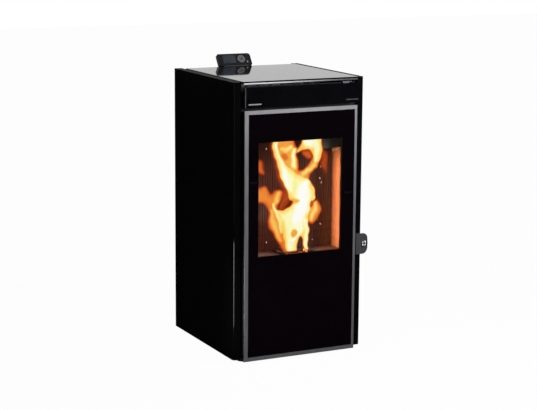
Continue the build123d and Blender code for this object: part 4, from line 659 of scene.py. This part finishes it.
def pick(obj, test):
    """In edit mode, selects the faces for which test(middle, normal) is true."""
    bpy.ops.mesh.select_mode(type="FACE")
    bpy.ops.mesh.select_all(action="DESELECT")
    mesh = bmesh.from_edit_mesh(obj.data)
    for face in mesh.faces:
        if test(face.calc_center_median(), face.normal):
            face.select_set(True)
    bmesh.update_edit_mesh(obj.data)


def modify(obj, kind, **settings):
    alone(obj)
    bpy.ops.object.modifier_add(type=kind)
    modifier = obj.modifiers[-1]
    for key, value in settings.items():
        setattr(modifier, key, value)
    bpy.ops.object.modifier_apply(modifier=modifier.name)


def join(pieces, name):
    """One object out of several."""
    alone(pieces[0])
    for piece in pieces[1:]:
        piece.select_set(True)
    if len(pieces) > 1:
        bpy.ops.object.join()
    pieces[0].name = name
    return pieces[0]


def copy_to(obj, places, name, turns):
    """Copies of a piece, each with its own mesh, at several places and turns, joined."""
    copies = []
    for place, turn in zip(places, turns):
        made = obj.copy()
        made.data = obj.data.copy()
        made.location = place
        made.rotation_euler = turn
        bpy.context.scene.collection.objects.link(made)
        copies.append(made)
    bpy.data.objects.remove(obj)
    return join(copies, name)


def settle(obj, finish, body, smooth=35):
    """The finished piece: placed in its mesh, finished, and riding on a body."""
    alone(obj)
    bpy.ops.object.transform_apply(location=True, rotation=True, scale=True)
    bpy.ops.object.shade_smooth_by_angle(angle=radians(smooth))
    obj.data.materials.clear()
    obj.data.materials.append(finish)
    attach(obj, body)
    print("settled", obj.name, len(obj.data.polygons), "faces on", body)


# %% [markdown]
# ## The rope seal of the door
#
# A rope of twisted glass fibre lies in the groove behind the door, pressed a little flat. Three
# strands make a rope whose section is a clover, and the Screw modifier turns that clover as it
# runs along, which gives the strands their lay. The straight rope is then bent round the door by
# a Curve modifier. The path is the groove's middle line: a plate without its face, with its
# corners rounded, turned into a curve.

# %% Twist the rope and bend it round the door
SEAL_HALF, SEAL_LOW, SEAL_HIGH, SEAL_BEND = 157.0, 185.0, 698.0, 7.0
ROPE_WIDTH, ROPE_DEPTH, ROPE_DEEP_AT = 8.0, 5.6, 20.85
STRANDS, STRAND_BULGE, LAY = 3, 0.14, 15.0

path = begin("plane", "rope_path", size=1)
path.scale = (2 * SEAL_HALF * MM, (SEAL_HIGH - SEAL_LOW) * MM, 1)
bpy.ops.object.transform_apply(location=False, rotation=False, scale=True)
bpy.ops.object.mode_set(mode="EDIT")
bpy.ops.mesh.select_all(action="SELECT")
bpy.ops.mesh.bevel(offset=SEAL_BEND * MM, segments=8, affect="VERTICES")
bpy.ops.mesh.select_all(action="SELECT")
bpy.ops.mesh.delete(type="ONLY_FACE")
bpy.ops.object.mode_set(mode="OBJECT")
bpy.ops.object.convert(target="CURVE")
path.data.dimensions = "2D"
corners = [Vector(point.co[:3]) for point in path.data.splines[0].points]
around = sum((a - b).length for a, b in zip(corners, corners[1:] + corners[:1]))

turns = round(around / (LAY * MM))
rope = begin("circle", "door_rope_seal", vertices=18, radius=1, rotation=(0, pi / 2, 0))
bpy.ops.object.transform_apply(location=False, rotation=True, scale=False)
for corner in rope.data.vertices:
    spoke = Vector((0, corner.co.y, corner.co.z))
    lobe = cos(STRANDS * spoke.yz.angle_signed(Vector((1, 0))))
    corner.co = spoke * (0.5 * ROPE_WIDTH * MM * (1 - STRAND_BULGE + STRAND_BULGE * lobe))
modify(rope, "SCREW", axis="X", angle=2 * pi, screw_offset=around / turns, iterations=turns,
       steps=10, render_steps=10, use_normal_calculate=True)
rope.scale = (1, 1, ROPE_DEPTH / ROPE_WIDTH)
bpy.ops.object.transform_apply(location=False, rotation=False, scale=True)
modify(rope, "CURVE", object=path, deform_axis="POS_X")
modify(rope, "WELD", merge_threshold=0.0001)
bpy.data.objects.remove(path)
rope.rotation_euler = (pi / 2, 0, 0)
rope.location = at(0, ROPE_DEEP_AT, (SEAL_LOW + SEAL_HIGH) / 2)
print("rope", round(around, 3), "m long, in", turns, "turns")

# %% [markdown]
# The rope's fibres run along its strands, so its bump is a fine noise drawn out along the rope.
# Ash has greyed it where it meets the body.

# %% Finish the rope
def glass_rope():
    finish = Finish("glass_fibre_rope")
    fibres = finish.noise(900, 4, (1, 1, 0.5))
    wear = finish.noise(25, 4)
    body = finish.blend(fibres, shade(84, 82, 78), shade(128, 125, 119))
    finish.set(base_color=finish.blend(wear.rise(0.5, 0.8) * 0.5, body, shade(48, 45, 42)))
    finish.set(roughness=0.92)
    finish.bump(fibres, 0.0003, 0.8)
    return finish.material


settle(rope, glass_rope(), "door", smooth=60)
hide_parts("door_gasket")

# %% [markdown]
# ## The foam strip under the lid
#
# A black foam strip round the hopper keeps dust and smoke in. It is a flat ring: a plate, inset
# by the strip's width, raised, and with its upper edges rounded by a bevel. The size is read from
# the solid that it stands for.

# %% Raise and round the foam strip
strip_low, strip_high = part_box("lid_seal")
STRIP_WIDTH, STRIP_ROUND = 10.0, 2.6
strip = begin("plane", "lid_foam_strip", size=1, location=(strip_low + strip_high) / 2)
strip.location.z = strip_low.z
strip.scale = (strip_high.x - strip_low.x, strip_high.y - strip_low.y, 1)
bpy.ops.object.transform_apply(location=True, rotation=False, scale=True)
bpy.ops.object.mode_set(mode="EDIT")
bpy.ops.mesh.select_all(action="SELECT")
bpy.ops.mesh.inset(thickness=STRIP_WIDTH * MM)
bpy.ops.mesh.delete(type="FACE")
bpy.ops.mesh.select_all(action="SELECT")
bpy.ops.mesh.extrude_region_move(
    TRANSFORM_OT_translate={"value": (0, 0, strip_high.z - strip_low.z)})
bpy.ops.mesh.select_all(action="SELECT")
bpy.ops.mesh.normals_make_consistent(inside=False)
bpy.ops.mesh.select_all(action="DESELECT")
bpy.ops.mesh.select_mode(type="EDGE")
shell = bmesh.from_edit_mesh(strip.data)
for edge in shell.edges:
    on_top = min(end.co.z for end in edge.verts) > strip_high.z - 1e-6
    edge.select_set(on_top and len(edge.link_faces) == 2 and edge.calc_face_angle() > 1)
bmesh.update_edit_mesh(strip.data)
bpy.ops.mesh.bevel(offset=STRIP_ROUND * MM, segments=5)
bpy.ops.object.mode_set(mode="OBJECT")


def foam():
    finish = Finish("black_seal_foam")
    pores = finish.cells(900)
    finish.set(base_color=finish.blend(pores * 1.5, shade(16, 16, 17), shade(40, 40, 42)))
    finish.set(roughness=0.9)
    finish.bump(pores, 0.0004, 0.7)
    return finish.material


settle(strip, foam(), "stove")
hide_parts("lid_seal")

# %% [markdown]
# ## Small bars on the door's glass
#
# Two short dark bars lie on the glass beside the window, the heads of the clips that hold a second
# pane. Each is a flat bar with a rounded front: a cube made to size, its long front edges
# bevelled. They are part of the door, so they ride on it.

# %% The clip bars
BAR_FRONT, BAR_BACK, BAR_HALF, BAR_ROUND = 1.1, 2.0, 4.5, 0.5


def clip_bar(name, left, right, height):
    low, high = at(left, BAR_FRONT, height - BAR_HALF), at(right, BAR_BACK, height + BAR_HALF)
    bar = begin("cube", name, size=1, location=(low + high) / 2, scale=high - low)
    bpy.ops.object.transform_apply(location=True, rotation=False, scale=True)
    bpy.ops.object.mode_set(mode="EDIT")
    pick(bar, lambda middle, normal: normal.y < -0.9)
    bpy.ops.mesh.bevel(offset=BAR_ROUND * MM, segments=3)
    bpy.ops.object.mode_set(mode="OBJECT")
    return bar


bars = [clip_bar("clip_left", -161.6, -139, 529), clip_bar("clip_right", 140, 168, 480)]
dark_clip = steel("dark_clip_steel", shade(17, 16, 20), shade(25, 24, 29), 0.5, LYING_GRAIN, 200)
settle(join(bars, "glass_clip_bars"), dark_clip, "door")

# %% [markdown]
# ## Screw heads
#
# The back panel is held by pan-head screws. One is modelled: a low cylinder, its rim rounded, with
# a round socket sunk into its top. It is then copied to each place with a mesh of its own, turned
# to face the back.

# %% Model one screw
def pan_screw(name, across, height):
    """A pan-head screw that stands on the XY plane and looks up."""
    screw = begin("cylinder", name, vertices=24, radius=across / 2, depth=height,
                  location=(0, 0, height / 2))
    bpy.ops.object.transform_apply(location=True, rotation=False, scale=False)
    bpy.ops.object.mode_set(mode="EDIT")
    pick(screw, lambda middle, normal: normal.z > 0.9)
    bpy.ops.mesh.bevel(offset=height * 0.45, segments=4)
    pick(screw, lambda middle, normal: normal.z > 0.99 and middle.xy.length < across * 0.1)
    bpy.ops.mesh.inset(thickness=across * 0.1)
    bpy.ops.mesh.inset(thickness=across * 0.02)
    bpy.ops.mesh.extrude_region_move(TRANSFORM_OT_translate={"value": (0, 0, -height * 0.55)})
    bpy.ops.object.mode_set(mode="OBJECT")
    return screw


REAR, HEAD_WIDTH, HEAD_HEIGHT = 429, 7, 2.4
SIDE_COLUMN, SIDE_ROWS, FOOT_COLUMN, FOOT_ROW = 174, (60, 240, 420, 600, 760), 60, 40
rear_places = [at(x, REAR, z) for z in SIDE_ROWS for x in (-SIDE_COLUMN, SIDE_COLUMN)]
rear_places += [at(x, REAR, FOOT_ROW) for x in (-FOOT_COLUMN, FOOT_COLUMN)]
rear_screw = pan_screw("rear_screw", HEAD_WIDTH * MM, HEAD_HEIGHT * MM)
backwards = [(-pi / 2, 0, 0)] * len(rear_places)
rear_screws = copy_to(rear_screw, rear_places, "rear_screws", backwards)
screw_zinc = steel("black_zinc_screw", shade(40, 40, 42), shade(64, 64, 66), 0.35, scale=300)
settle(rear_screws, screw_zinc, "stove")

# %% [markdown]
# ## Marks on the keys
#
# The round pad has a small raised triangle on each of its four keys and a dot on its middle, and
# the small round key has the common sign for power: an open ring with a bar. They stand a fifth of
# a millimetre proud. Each is made flat, laid on the control unit's sloping plane, and rides on its
# key.

# %% The sloping plane of the keys
SLOPE = radians(34.4)
SEAT = at(-4.5, 427, 816)
seat_x, seat_z = Vector((1, 0, 0)), Vector((0, -cos(SLOPE), sin(SLOPE)))
seat_y = seat_z.cross(seat_x)
KEY_TOP, MARK_PROUD = 0.2, 0.2
PAD, POWER, MARK_OUT, MARK_ROUND = (22.5, 21.5), (41.0, 11.5), 9.0, 0.06


def on_seat(obj, x, y, turn=0.0):
    """Lays a flat piece on the keys' tops, at a place on the sloping plane, turned in it."""
    spot = SEAT + (x * seat_x + y * seat_y + KEY_TOP * seat_z) * MM
    plane = Matrix((seat_x, seat_y, seat_z)).transposed().to_4x4()
    obj.matrix_world = Matrix.Translation(spot) @ plane @ Matrix.Rotation(turn, 4, "Z")
    return obj


print("keys at", PAD, "and", POWER, "mm on their plane")

# %% Triangles on the pad, a dot on its middle and the power sign
def flat_mark(name, sides, radius, inner=0.0, keep=None):
    """A raised flat outline, or a ring with some of its faces left out, with its rim eased."""
    mark = begin("circle", name, vertices=sides, radius=radius * MM, fill_type="NGON")
    bpy.ops.object.mode_set(mode="EDIT")
    bpy.ops.mesh.select_all(action="SELECT")
    if inner:
        bpy.ops.mesh.inset(thickness=(radius - inner) * MM)
        bpy.ops.mesh.delete(type="FACE")
        pick(mark, lambda middle, normal: not keep(middle / MM))
        bpy.ops.mesh.delete(type="FACE")
        bpy.ops.mesh.select_all(action="SELECT")
    bpy.ops.mesh.extrude_region_move(TRANSFORM_OT_translate={"value": (0, 0, MARK_PROUD * MM)})
    bpy.ops.mesh.select_all(action="SELECT")
    bpy.ops.mesh.normals_make_consistent(inside=False)
    bpy.ops.object.mode_set(mode="OBJECT")
    modify(mark, "BEVEL", width=MARK_ROUND * MM, segments=2)
    return mark


mark_dark = plastic("dark_key_print", shade(30, 29, 31), shade(44, 43, 46), 0.45)
for step, key in enumerate(("right", "up", "left", "down")):
    angle = step * pi / 2
    arrow = flat_mark("mark_" + key, 3, 1.7)
    on_seat(arrow, PAD[0] + MARK_OUT * cos(angle), PAD[1] + MARK_OUT * sin(angle), angle - pi / 2)
    settle(arrow, mark_dark, "key_" + key + "_cap")
settle(on_seat(flat_mark("mark_ok", 24, 2.6), *PAD), mark_dark, "key_ok_cap")

ring = flat_mark("power_ring", 32, 1.9, 1.45, lambda middle: abs(middle.x) > 0.75 or middle.y < 0)
bar = begin("cube", "power_bar", size=1, location=(0, 1.35 * MM, MARK_PROUD * MM / 2),
            scale=(0.45 * MM, 1.7 * MM, MARK_PROUD * MM))
bpy.ops.object.transform_apply(location=True, rotation=False, scale=True)
modify(bar, "BEVEL", width=MARK_ROUND * MM, segments=2)
power = on_seat(join([ring, bar], "power_mark"), *POWER)
settle(power, plastic("white_key_print", shade(206, 206, 208), shade(222, 222, 224), 0.45),
       "key_power_cap")

# %% [markdown]
# ## The fire
#
# Flames are thin sheets of burning gas. Each sheet here is a fine grid, gently bent, and how hot
# the gas is at each point of it is a number that the mesh carries, called `flame_heat`: plain
# `heat` is a name that the renderer keeps for smoke. Every tongue of the flame is a closed outline
# in millimetres, with the heat inside it and the width of its soft rim. Bright veins are strokes,
# lines of points with a radius, and hollows take heat away again. The finish turns heat into
# colour, and into how much of what is behind shows through. Faces without heat go.
#
# The two sheets stand at different depths in the pot, so that the fire has body when it is seen
# from the side. An outline lies on a plane in front, and a point further back takes the heat of
# the point that covers it from the front left, where the stove is looked at most.

# %% The tongues of the front sheet
FLAME_PLANE = 56.0
SLIDE_X, SLIDE_Z = 0.52, -0.205
TRUNK = [
    (-66, 660), (-45, 660), (-44, 619), (-41, 599), (-34, 583), (-21, 569), (-8, 554), (6, 543),
    (23, 537), (36, 528), (49, 519), (63, 508), (73, 497), (77, 482), (78, 466), (75, 458),
    (66, 454), (58, 447), (58, 432), (59, 416), (56, 400), (53, 384), (56, 370), (52, 354),
    (54, 337), (57, 300), (43, 300), (38, 333), (34, 349), (29, 356), (24, 347), (20, 332),
    (13, 300), (-21, 300), (-24, 339), (-28, 365), (-35, 386), (-43, 407), (-49, 423), (-56, 436),
    (-59, 449), (-54, 443), (-43, 434), (-29, 434), (-12, 442), (1, 450), (0, 460), (-12, 464),
    (-16, 479), (-23, 503), (-36, 530), (-48, 556), (-57, 582), (-63, 608)]
FIELD = [(-60, 660), (-9, 660), (5, 628), (12, 613), (20, 612), (28, 622), (39, 609), (33, 606),
         (23, 599), (14, 594), (18, 585), (21, 570), (21, 557), (15, 549), (28, 534), (0, 528),
         (-25, 547), (-50, 577), (-60, 607)]
RIGHT_ARM = [(32, 660), (95, 660), (97, 620), (96, 598), (91, 577), (86, 563), (76, 566),
             (65, 574), (65, 587), (56, 599), (48, 607), (35, 607), (23, 599), (14, 596),
             (12, 605), (18, 613), (28, 626)]
ARM_LOW = [(64, 589), (91, 585), (87, 555), (74, 548), (63, 539), (55, 529), (48, 510), (30, 508),
           (6, 535), (14, 546), (20, 547), (37, 552), (51, 559), (62, 573)]
RIGHT_LOBE = [(41, 474), (63, 456), (81, 456), (91, 445), (95, 429), (91, 414), (82, 397),
              (71, 386), (58, 387), (41, 397)]
LEFT_BODY = [(-64, 492), (-57, 497), (-45, 499), (-34, 493), (-29, 482), (-34, 465), (-42, 448),
             (-43, 435), (-21, 428), (-4, 437), (7, 400), (3, 300), (-28, 300), (-36, 326),
             (-50, 348), (-59, 367), (-74, 387), (-81, 403), (-79, 418), (-77, 433), (-80, 446),
             (-93, 459), (-120, 463), (-120, 506), (-98, 511), (-89, 511), (-81, 503), (-75, 490),
             (-69, 485)]
FRONT_TONGUES = [(0.90, 6, TRUNK), (0.59, 10, FIELD), (0.84, 8, RIGHT_ARM), (0.62, 10, ARM_LOW),
                 (0.58, 12, RIGHT_LOBE), (0.52, 15, LEFT_BODY)]
FRONT_VEINS = [
    (1.06, [(46, 508, 18), (36, 477, 32), (29, 455, 36), (34, 434, 30), (24, 415, 26),
            (8, 402, 16)]),
    (0.97, [(-52, 627, 6), (-46, 599, 8), (-35, 568, 12), (-21, 530, 15), (-8, 494, 14)]),
    (0.78, [(-34, 611, 8), (-23, 608, 12), (-6, 617, 10)]),
    (0.86, [(5, 608, 9), (5, 588, 11), (4, 560, 14)]),
    (0.94, [(39, 632, 16), (61, 624, 20)]), (0.90, [(78, 619, 12), (76, 594, 11), (76, 572, 9)]),
    (0.74, [(76, 561, 9), (57, 547, 10), (34, 538, 12)]),
    (0.74, [(75, 446, 9), (72, 423, 13), (64, 401, 10)]),
    (0.68, [(-47, 487, 12), (-49, 462, 14)]), (0.50, [(-91, 499, 10), (-93, 474, 14)]),
    (0.64, [(-66, 437, 9), (-65, 406, 12), (-49, 377, 13), (-36, 348, 10)]),
    (0.84, [(-59, 457, 6), (-54, 438, 8), (-43, 404, 9), (-32, 373, 8)]),
    (0.99, [(30, 392, 5), (28, 375, 5), (22, 361, 5), (11, 347, 5), (-4, 342, 6)]),
    (0.96, [(-6, 340, 9), (-7, 310, 12)]),
    (0.97, [(44, 397, 13), (47, 366, 10), (47, 335, 9), (50, 305, 9)])]
FRONT_HOLLOWS = [
    (0.44, 8, [(-34, 597), (-21, 599), (-12, 593), (-14, 582), (-25, 580), (-34, 587)]),
    (0.20, 7, [(-41, 437), (-46, 442), (-43, 455), (-33, 470), (-21, 479), (-14, 465), (-21, 452),
               (-31, 442)]),
    (0.62, 9, [(-13, 468), (7, 467), (24, 458), (15, 451), (1, 450)]),
    (0.30, 5, [(57, 456), (67, 456), (68, 444), (63, 434), (57, 437)]),
    (0.57, 7, [(-1, 374), (8, 376), (16, 371), (18, 361), (11, 352), (2, 353), (-3, 363)]),
    (0.20, 5, [(20, 300), (22, 338), (29, 355), (36, 340), (44, 300)])]
print(len(FRONT_TONGUES), "tongues,", len(FRONT_VEINS), "veins,", len(FRONT_HOLLOWS), "hollows")

# %% The tongues of the back sheet
RED_GLOW = [(-75, 660), (-50, 660), (-50, 607), (-42, 576), (-28, 545), (-8, 514), (0, 462),
            (-22, 426), (-49, 430), (-38, 475), (-33, 495), (-47, 516), (-58, 552), (-67, 583),
            (-72, 608)]
FAR_LEFT = [(-120, 592), (-99, 585), (-90, 564), (-85, 547), (-93, 541), (-120, 548)]
RIGHT_HAZE = [(91, 611), (107, 605), (118, 589), (119, 540), (112, 525), (102, 541), (92, 552),
              (89, 573)]
HOLE_HAZE = [(28, 609), (50, 609), (67, 592), (65, 574), (51, 578), (39, 589), (28, 594)]
HEART = [(-33, 566), (0, 571), (40, 525), (66, 493), (63, 462), (49, 440), (46, 392), (20, 376),
         (-10, 366), (-32, 404), (-24, 433), (1, 452), (-10, 478), (-22, 525)]
BACK_TONGUES = [(0.25, 20, RED_GLOW), (0.42, 18, FAR_LEFT), (0.28, 20, RIGHT_HAZE),
                (0.40, 14, HOLE_HAZE), (0.76, 22, HEART)]
BACK_VEINS = [(0.34, [(-60, 640, 12), (-56, 600, 12), (-44, 560, 10)])]
print(len(BACK_TONGUES), "tongues and", len(BACK_VEINS), "veins behind")

# %% [markdown]
# The heat is worked out for all points of a sheet at once, with arrays. How deep a point is inside
# an outline is its distance to the nearest edge, counted below zero when the point is outside. The
# corners of an outline are cut twice first, which rounds them. Last, the points that are looked
# up waver by a few millimetres, as a flame does.

# %% Work out the heat
def rounded(outline, rounds=2):
    """The outline with its corners cut, each replaced by two softer ones."""
    for _ in range(rounds):
        cut = []
        for (ax, az), (bx, bz) in zip(outline, outline[1:] + outline[:1]):
            cut.append((0.75 * ax + 0.25 * bx, 0.75 * az + 0.25 * bz))
            cut.append((0.25 * ax + 0.75 * bx, 0.25 * az + 0.75 * bz))
        outline = cut
    return outline


def depth_inside(outline, x, z):
    """How deep each point lies inside a closed outline, in mm, below 0 outside."""
    nearest = np.full(x.shape, 1e9)
    inside = np.zeros(x.shape, bool)
    for (ax, az), (bx, bz) in zip(outline, outline[1:] + outline[:1]):
        run, climb = bx - ax, bz - az
        share = np.clip(((x - ax) * run + (z - az) * climb) / (run ** 2 + climb ** 2), 0, 1)
        nearest = np.minimum(nearest, np.hypot(x - ax - run * share, z - az - climb * share))
        if climb:
            inside ^= ((az > z) != (bz > z)) & (x < ax + (z - az) * run / climb)
    return np.where(inside, nearest, -nearest)


def eased(share):
    share = np.clip(share, 0, 1)
    return share * share * (3 - 2 * share)


def along(vein, x, z):
    """1 on the middle of a vein, falling to 0 at its radius."""
    best = np.zeros(x.shape)
    for (ax, az, ar), (bx, bz, br) in zip(vein, vein[1:]):
        run, climb = bx - ax, bz - az
        share = np.clip(((x - ax) * run + (z - az) * climb) / (run ** 2 + climb ** 2), 0, 1)
        away = np.hypot(x - ax - run * share, z - az - climb * share)
        best = np.maximum(best, 1 - away / (ar + (br - ar) * share))
    return eased(best)


ROOT, ROOT_SOFT = 307.0, 9


def heat_of(x, z, tongues, veins, hollows):
    root = eased((z - ROOT) / ROOT_SOFT)
    x, z = x + 2.2 * np.sin(z / 13 + x / 31), z + 1.6 * np.sin(x / 9 - z / 27)
    x, z = x + 0.9 * np.sin(z / 4.7 + 1.3), z + 0.7 * np.sin(x / 4.1 + z / 11)
    heat = np.zeros(x.shape)
    for level, soft, outline in tongues:
        depth = depth_inside(rounded(outline), x, z)
        warm = level * (0.8 * eased(depth / soft + 0.4) + 0.2 * eased(depth / 22))
        heat = np.maximum(heat, warm)
    body = heat.copy()
    for level, vein in veins:
        heat += np.maximum(level - heat, 0) * along(vein, x, z) * eased(body * 3)
    for level, soft, outline in hollows:
        share = eased(depth_inside(rounded(outline), x, z) / soft + 0.5)
        heat += np.minimum(level - heat, 0) * share
    return heat * root


probe = heat_of(np.array([20.0, 140.0]), np.array([420.0, 420.0]), FRONT_TONGUES, FRONT_VEINS, [])
print("heat in the trunk and outside it", probe.round(2))

# %% [markdown]
# The finish of a flame gives light and takes none, so its base is black and its Emission Color
# carries everything. From no heat to full heat it goes through dull red, orange, amber, yellow
# and a pale yellow that is nearly white. Fine upright streaks of noise are added to the heat
# first, because a real flame is never even.

# %% The finish of a flame
FLAME_COLOURS = [
    (0.00, shade(206, 62, 22)), (0.14, shade(216, 74, 26)), (0.28, shade(232, 92, 32)),
    (0.42, shade(246, 124, 46)), (0.56, shade(252, 160, 64)), (0.68, shade(253, 202, 96)),
    (0.78, shade(254, 234, 140)), (0.88, shade(254, 252, 182)), (0.98, shade(255, 255, 248))]


def flame_finish():
    finish = Finish("flame")
    heat = finish.node("Attribute", {"attribute_name": "flame_heat"}, out="Fac")
    broad = finish.noise(30, 2, (1, 1, 0.4))
    fine = finish.noise(120, 3, (1, 1, 0.16))
    lively = heat + (broad - 0.5) * 0.34 * heat + (fine - 0.5) * 0.16 * heat
    finish.set(base_color=(0, 0, 0, 1), specular_ior_level=0.0, roughness=1.0)
    finish.set(emission_color=finish.ramp(lively, FLAME_COLOURS), emission_strength=1.12)
    finish.set(alpha=heat.rise(0.02, 0.34) * 0.62 + heat.rise(0.2, 0.7) * 0.37)
    return finish.material


FLAME = flame_finish()
print("a flame goes through", len(FLAME_COLOURS), "colours")

# %% [markdown]
# A sheet is a grid of 2 mm squares, stood upright. Every point is pushed to its depth, which
# bulges towards the viewer in the middle, gets its heat, and the cold faces are deleted.

# %% Make the two sheets
SQUARE, BULGE, BULGE_AT, SWAY, COLD = 2, 0.0011, 15, 3.5, 0.02
FRONT_DEPTH, BACK_DEPTH = 50, 80


def flame_sheet(name, depth, tongues, veins, hollows):
    left, right, foot, top = -116, 136, 300, 652
    across, up = (right - left) // SQUARE, (top - foot) // SQUARE
    sheet = begin("grid", name, x_subdivisions=across, y_subdivisions=up, size=1,
                  rotation=(pi / 2, 0, 0))
    sheet.scale = ((right - left) * MM, (top - foot) * MM, 1)
    bpy.ops.object.transform_apply(location=False, rotation=True, scale=True)
    x = np.array([corner.co.x for corner in sheet.data.vertices]) / MM + (left + right) / 2
    z = np.array([corner.co.z for corner in sheet.data.vertices]) / MM + (foot + top) / 2
    y = depth + BULGE * (x - BULGE_AT) ** 2 + SWAY * np.sin(z / 46 + x / 38)
    shift = y - FLAME_PLANE
    warm = heat_of(x - SLIDE_X * shift, z - SLIDE_Z * shift, tongues, veins, hollows)
    for corner, place in zip(sheet.data.vertices, zip(x, y, z)):
        corner.co = at(*place)
    heat = sheet.data.attributes.new("flame_heat", "FLOAT", "POINT")
    heat.data.foreach_set("value", warm)
    bpy.ops.object.mode_set(mode="EDIT")
    bpy.ops.mesh.select_mode(type="FACE")
    bpy.ops.mesh.select_all(action="DESELECT")
    mesh = bmesh.from_edit_mesh(sheet.data)
    for face in mesh.faces:
        face.select_set(max(warm[corner.index] for corner in face.verts) < COLD)
    bmesh.update_edit_mesh(sheet.data)
    bpy.ops.mesh.delete(type="FACE")
    bpy.ops.object.mode_set(mode="OBJECT")
    return sheet


flames = [flame_sheet("flame_front", FRONT_DEPTH, FRONT_TONGUES, FRONT_VEINS, FRONT_HOLLOWS),
          flame_sheet("flame_back", BACK_DEPTH, BACK_TONGUES, BACK_VEINS, [])]
for sheet in flames:
    settle(sheet, FLAME, "pot", smooth=180)
    sheet.visible_diffuse = False
    at(20, 73, 305)
    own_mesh(sheet)

# %% [markdown]
# Under the flames lies a bed of glowing pellets. A pellet is a short rod, about 6 mm thick, and
# it burns from its skin inwards: so it is dark with bright cracks. One rod is modelled, its ends
# rounded, and it is copied, turned and piled by a seeded random number, so that every run gives
# the same bed. A few sparks rise beside the flames: thin bright grains on their way up.

# %% The ember bed and the sparks
def glowing(name, dark, bright, scale):
    finish = Finish(name)
    cracks = finish.cells(scale).rise(0.1, 0.55)
    finish.set(base_color=finish.blend(cracks, shade(60, 30, 20), shade(24, 18, 16)))
    finish.set(emission_color=finish.blend(cracks, bright, dark), emission_strength=1.0)
    finish.set(roughness=0.9)
    finish.bump(cracks, 0.0004, 0.5)
    return finish.material


SEED, PELLETS, PELLET_RADIUS, PELLET_LENGTH, PELLET_ROUND = 7, 64, 3, 13, 1.1
BED_FOOT, BED_STEP, BED_LAYERS = 287, 5.5, 3
SPARK_RADIUS, SPARK_DEPTH = 1.6, 80

dice = random.Random(SEED)
pellet = begin("cylinder", "pellet", vertices=8, radius=PELLET_RADIUS * MM,
               depth=PELLET_LENGTH * MM)
bpy.ops.object.mode_set(mode="EDIT")
pick(pellet, lambda middle, normal: abs(normal.z) > 0.9)
bpy.ops.mesh.bevel(offset=PELLET_ROUND * MM, segments=2)
bpy.ops.object.mode_set(mode="OBJECT")
places, turns = [], []
for index in range(PELLETS):
    x, y = dice.uniform(-12, 52), dice.uniform(50, 97)
    places.append(at(x, y, BED_FOOT + BED_STEP * (index % BED_LAYERS)))
    turns.append((pi / 2 + dice.uniform(-0.35, 0.35), dice.uniform(-0.3, 0.3), dice.uniform(0, pi)))
embers = copy_to(pellet, places, "ember_bed", turns)
ember_finish = glowing("glowing_pellet", shade(110, 24, 8), shade(255, 150, 60), 320)
settle(embers, ember_finish, "pot")

SPARKS = [(102, 515, 7, -28), (107, 502, 6, 12), (106, 588, 3, 0), (106, 379, 6, -38),
          (104, 549, 3, 5), (-70, 339, 4, 0), (80, 335, 3, 10), (-72, 612, 5, 30)]
sparks = []
for x, z, length, lean in SPARKS:
    spark = begin("ico_sphere", "spark", subdivisions=2, radius=SPARK_RADIUS * MM,
                  location=at(x, SPARK_DEPTH, z))
    spark.scale = (0.8, 0.8, length / 3)
    spark.rotation_euler = (0, radians(lean), 0)
    bpy.ops.object.transform_apply(location=False, rotation=True, scale=True)
    sparks.append(spark)
spark_finish = glowing("spark", shade(255, 190, 170), shade(255, 232, 220), 900)
settle(join(sparks, "sparks"), spark_finish, "stove")
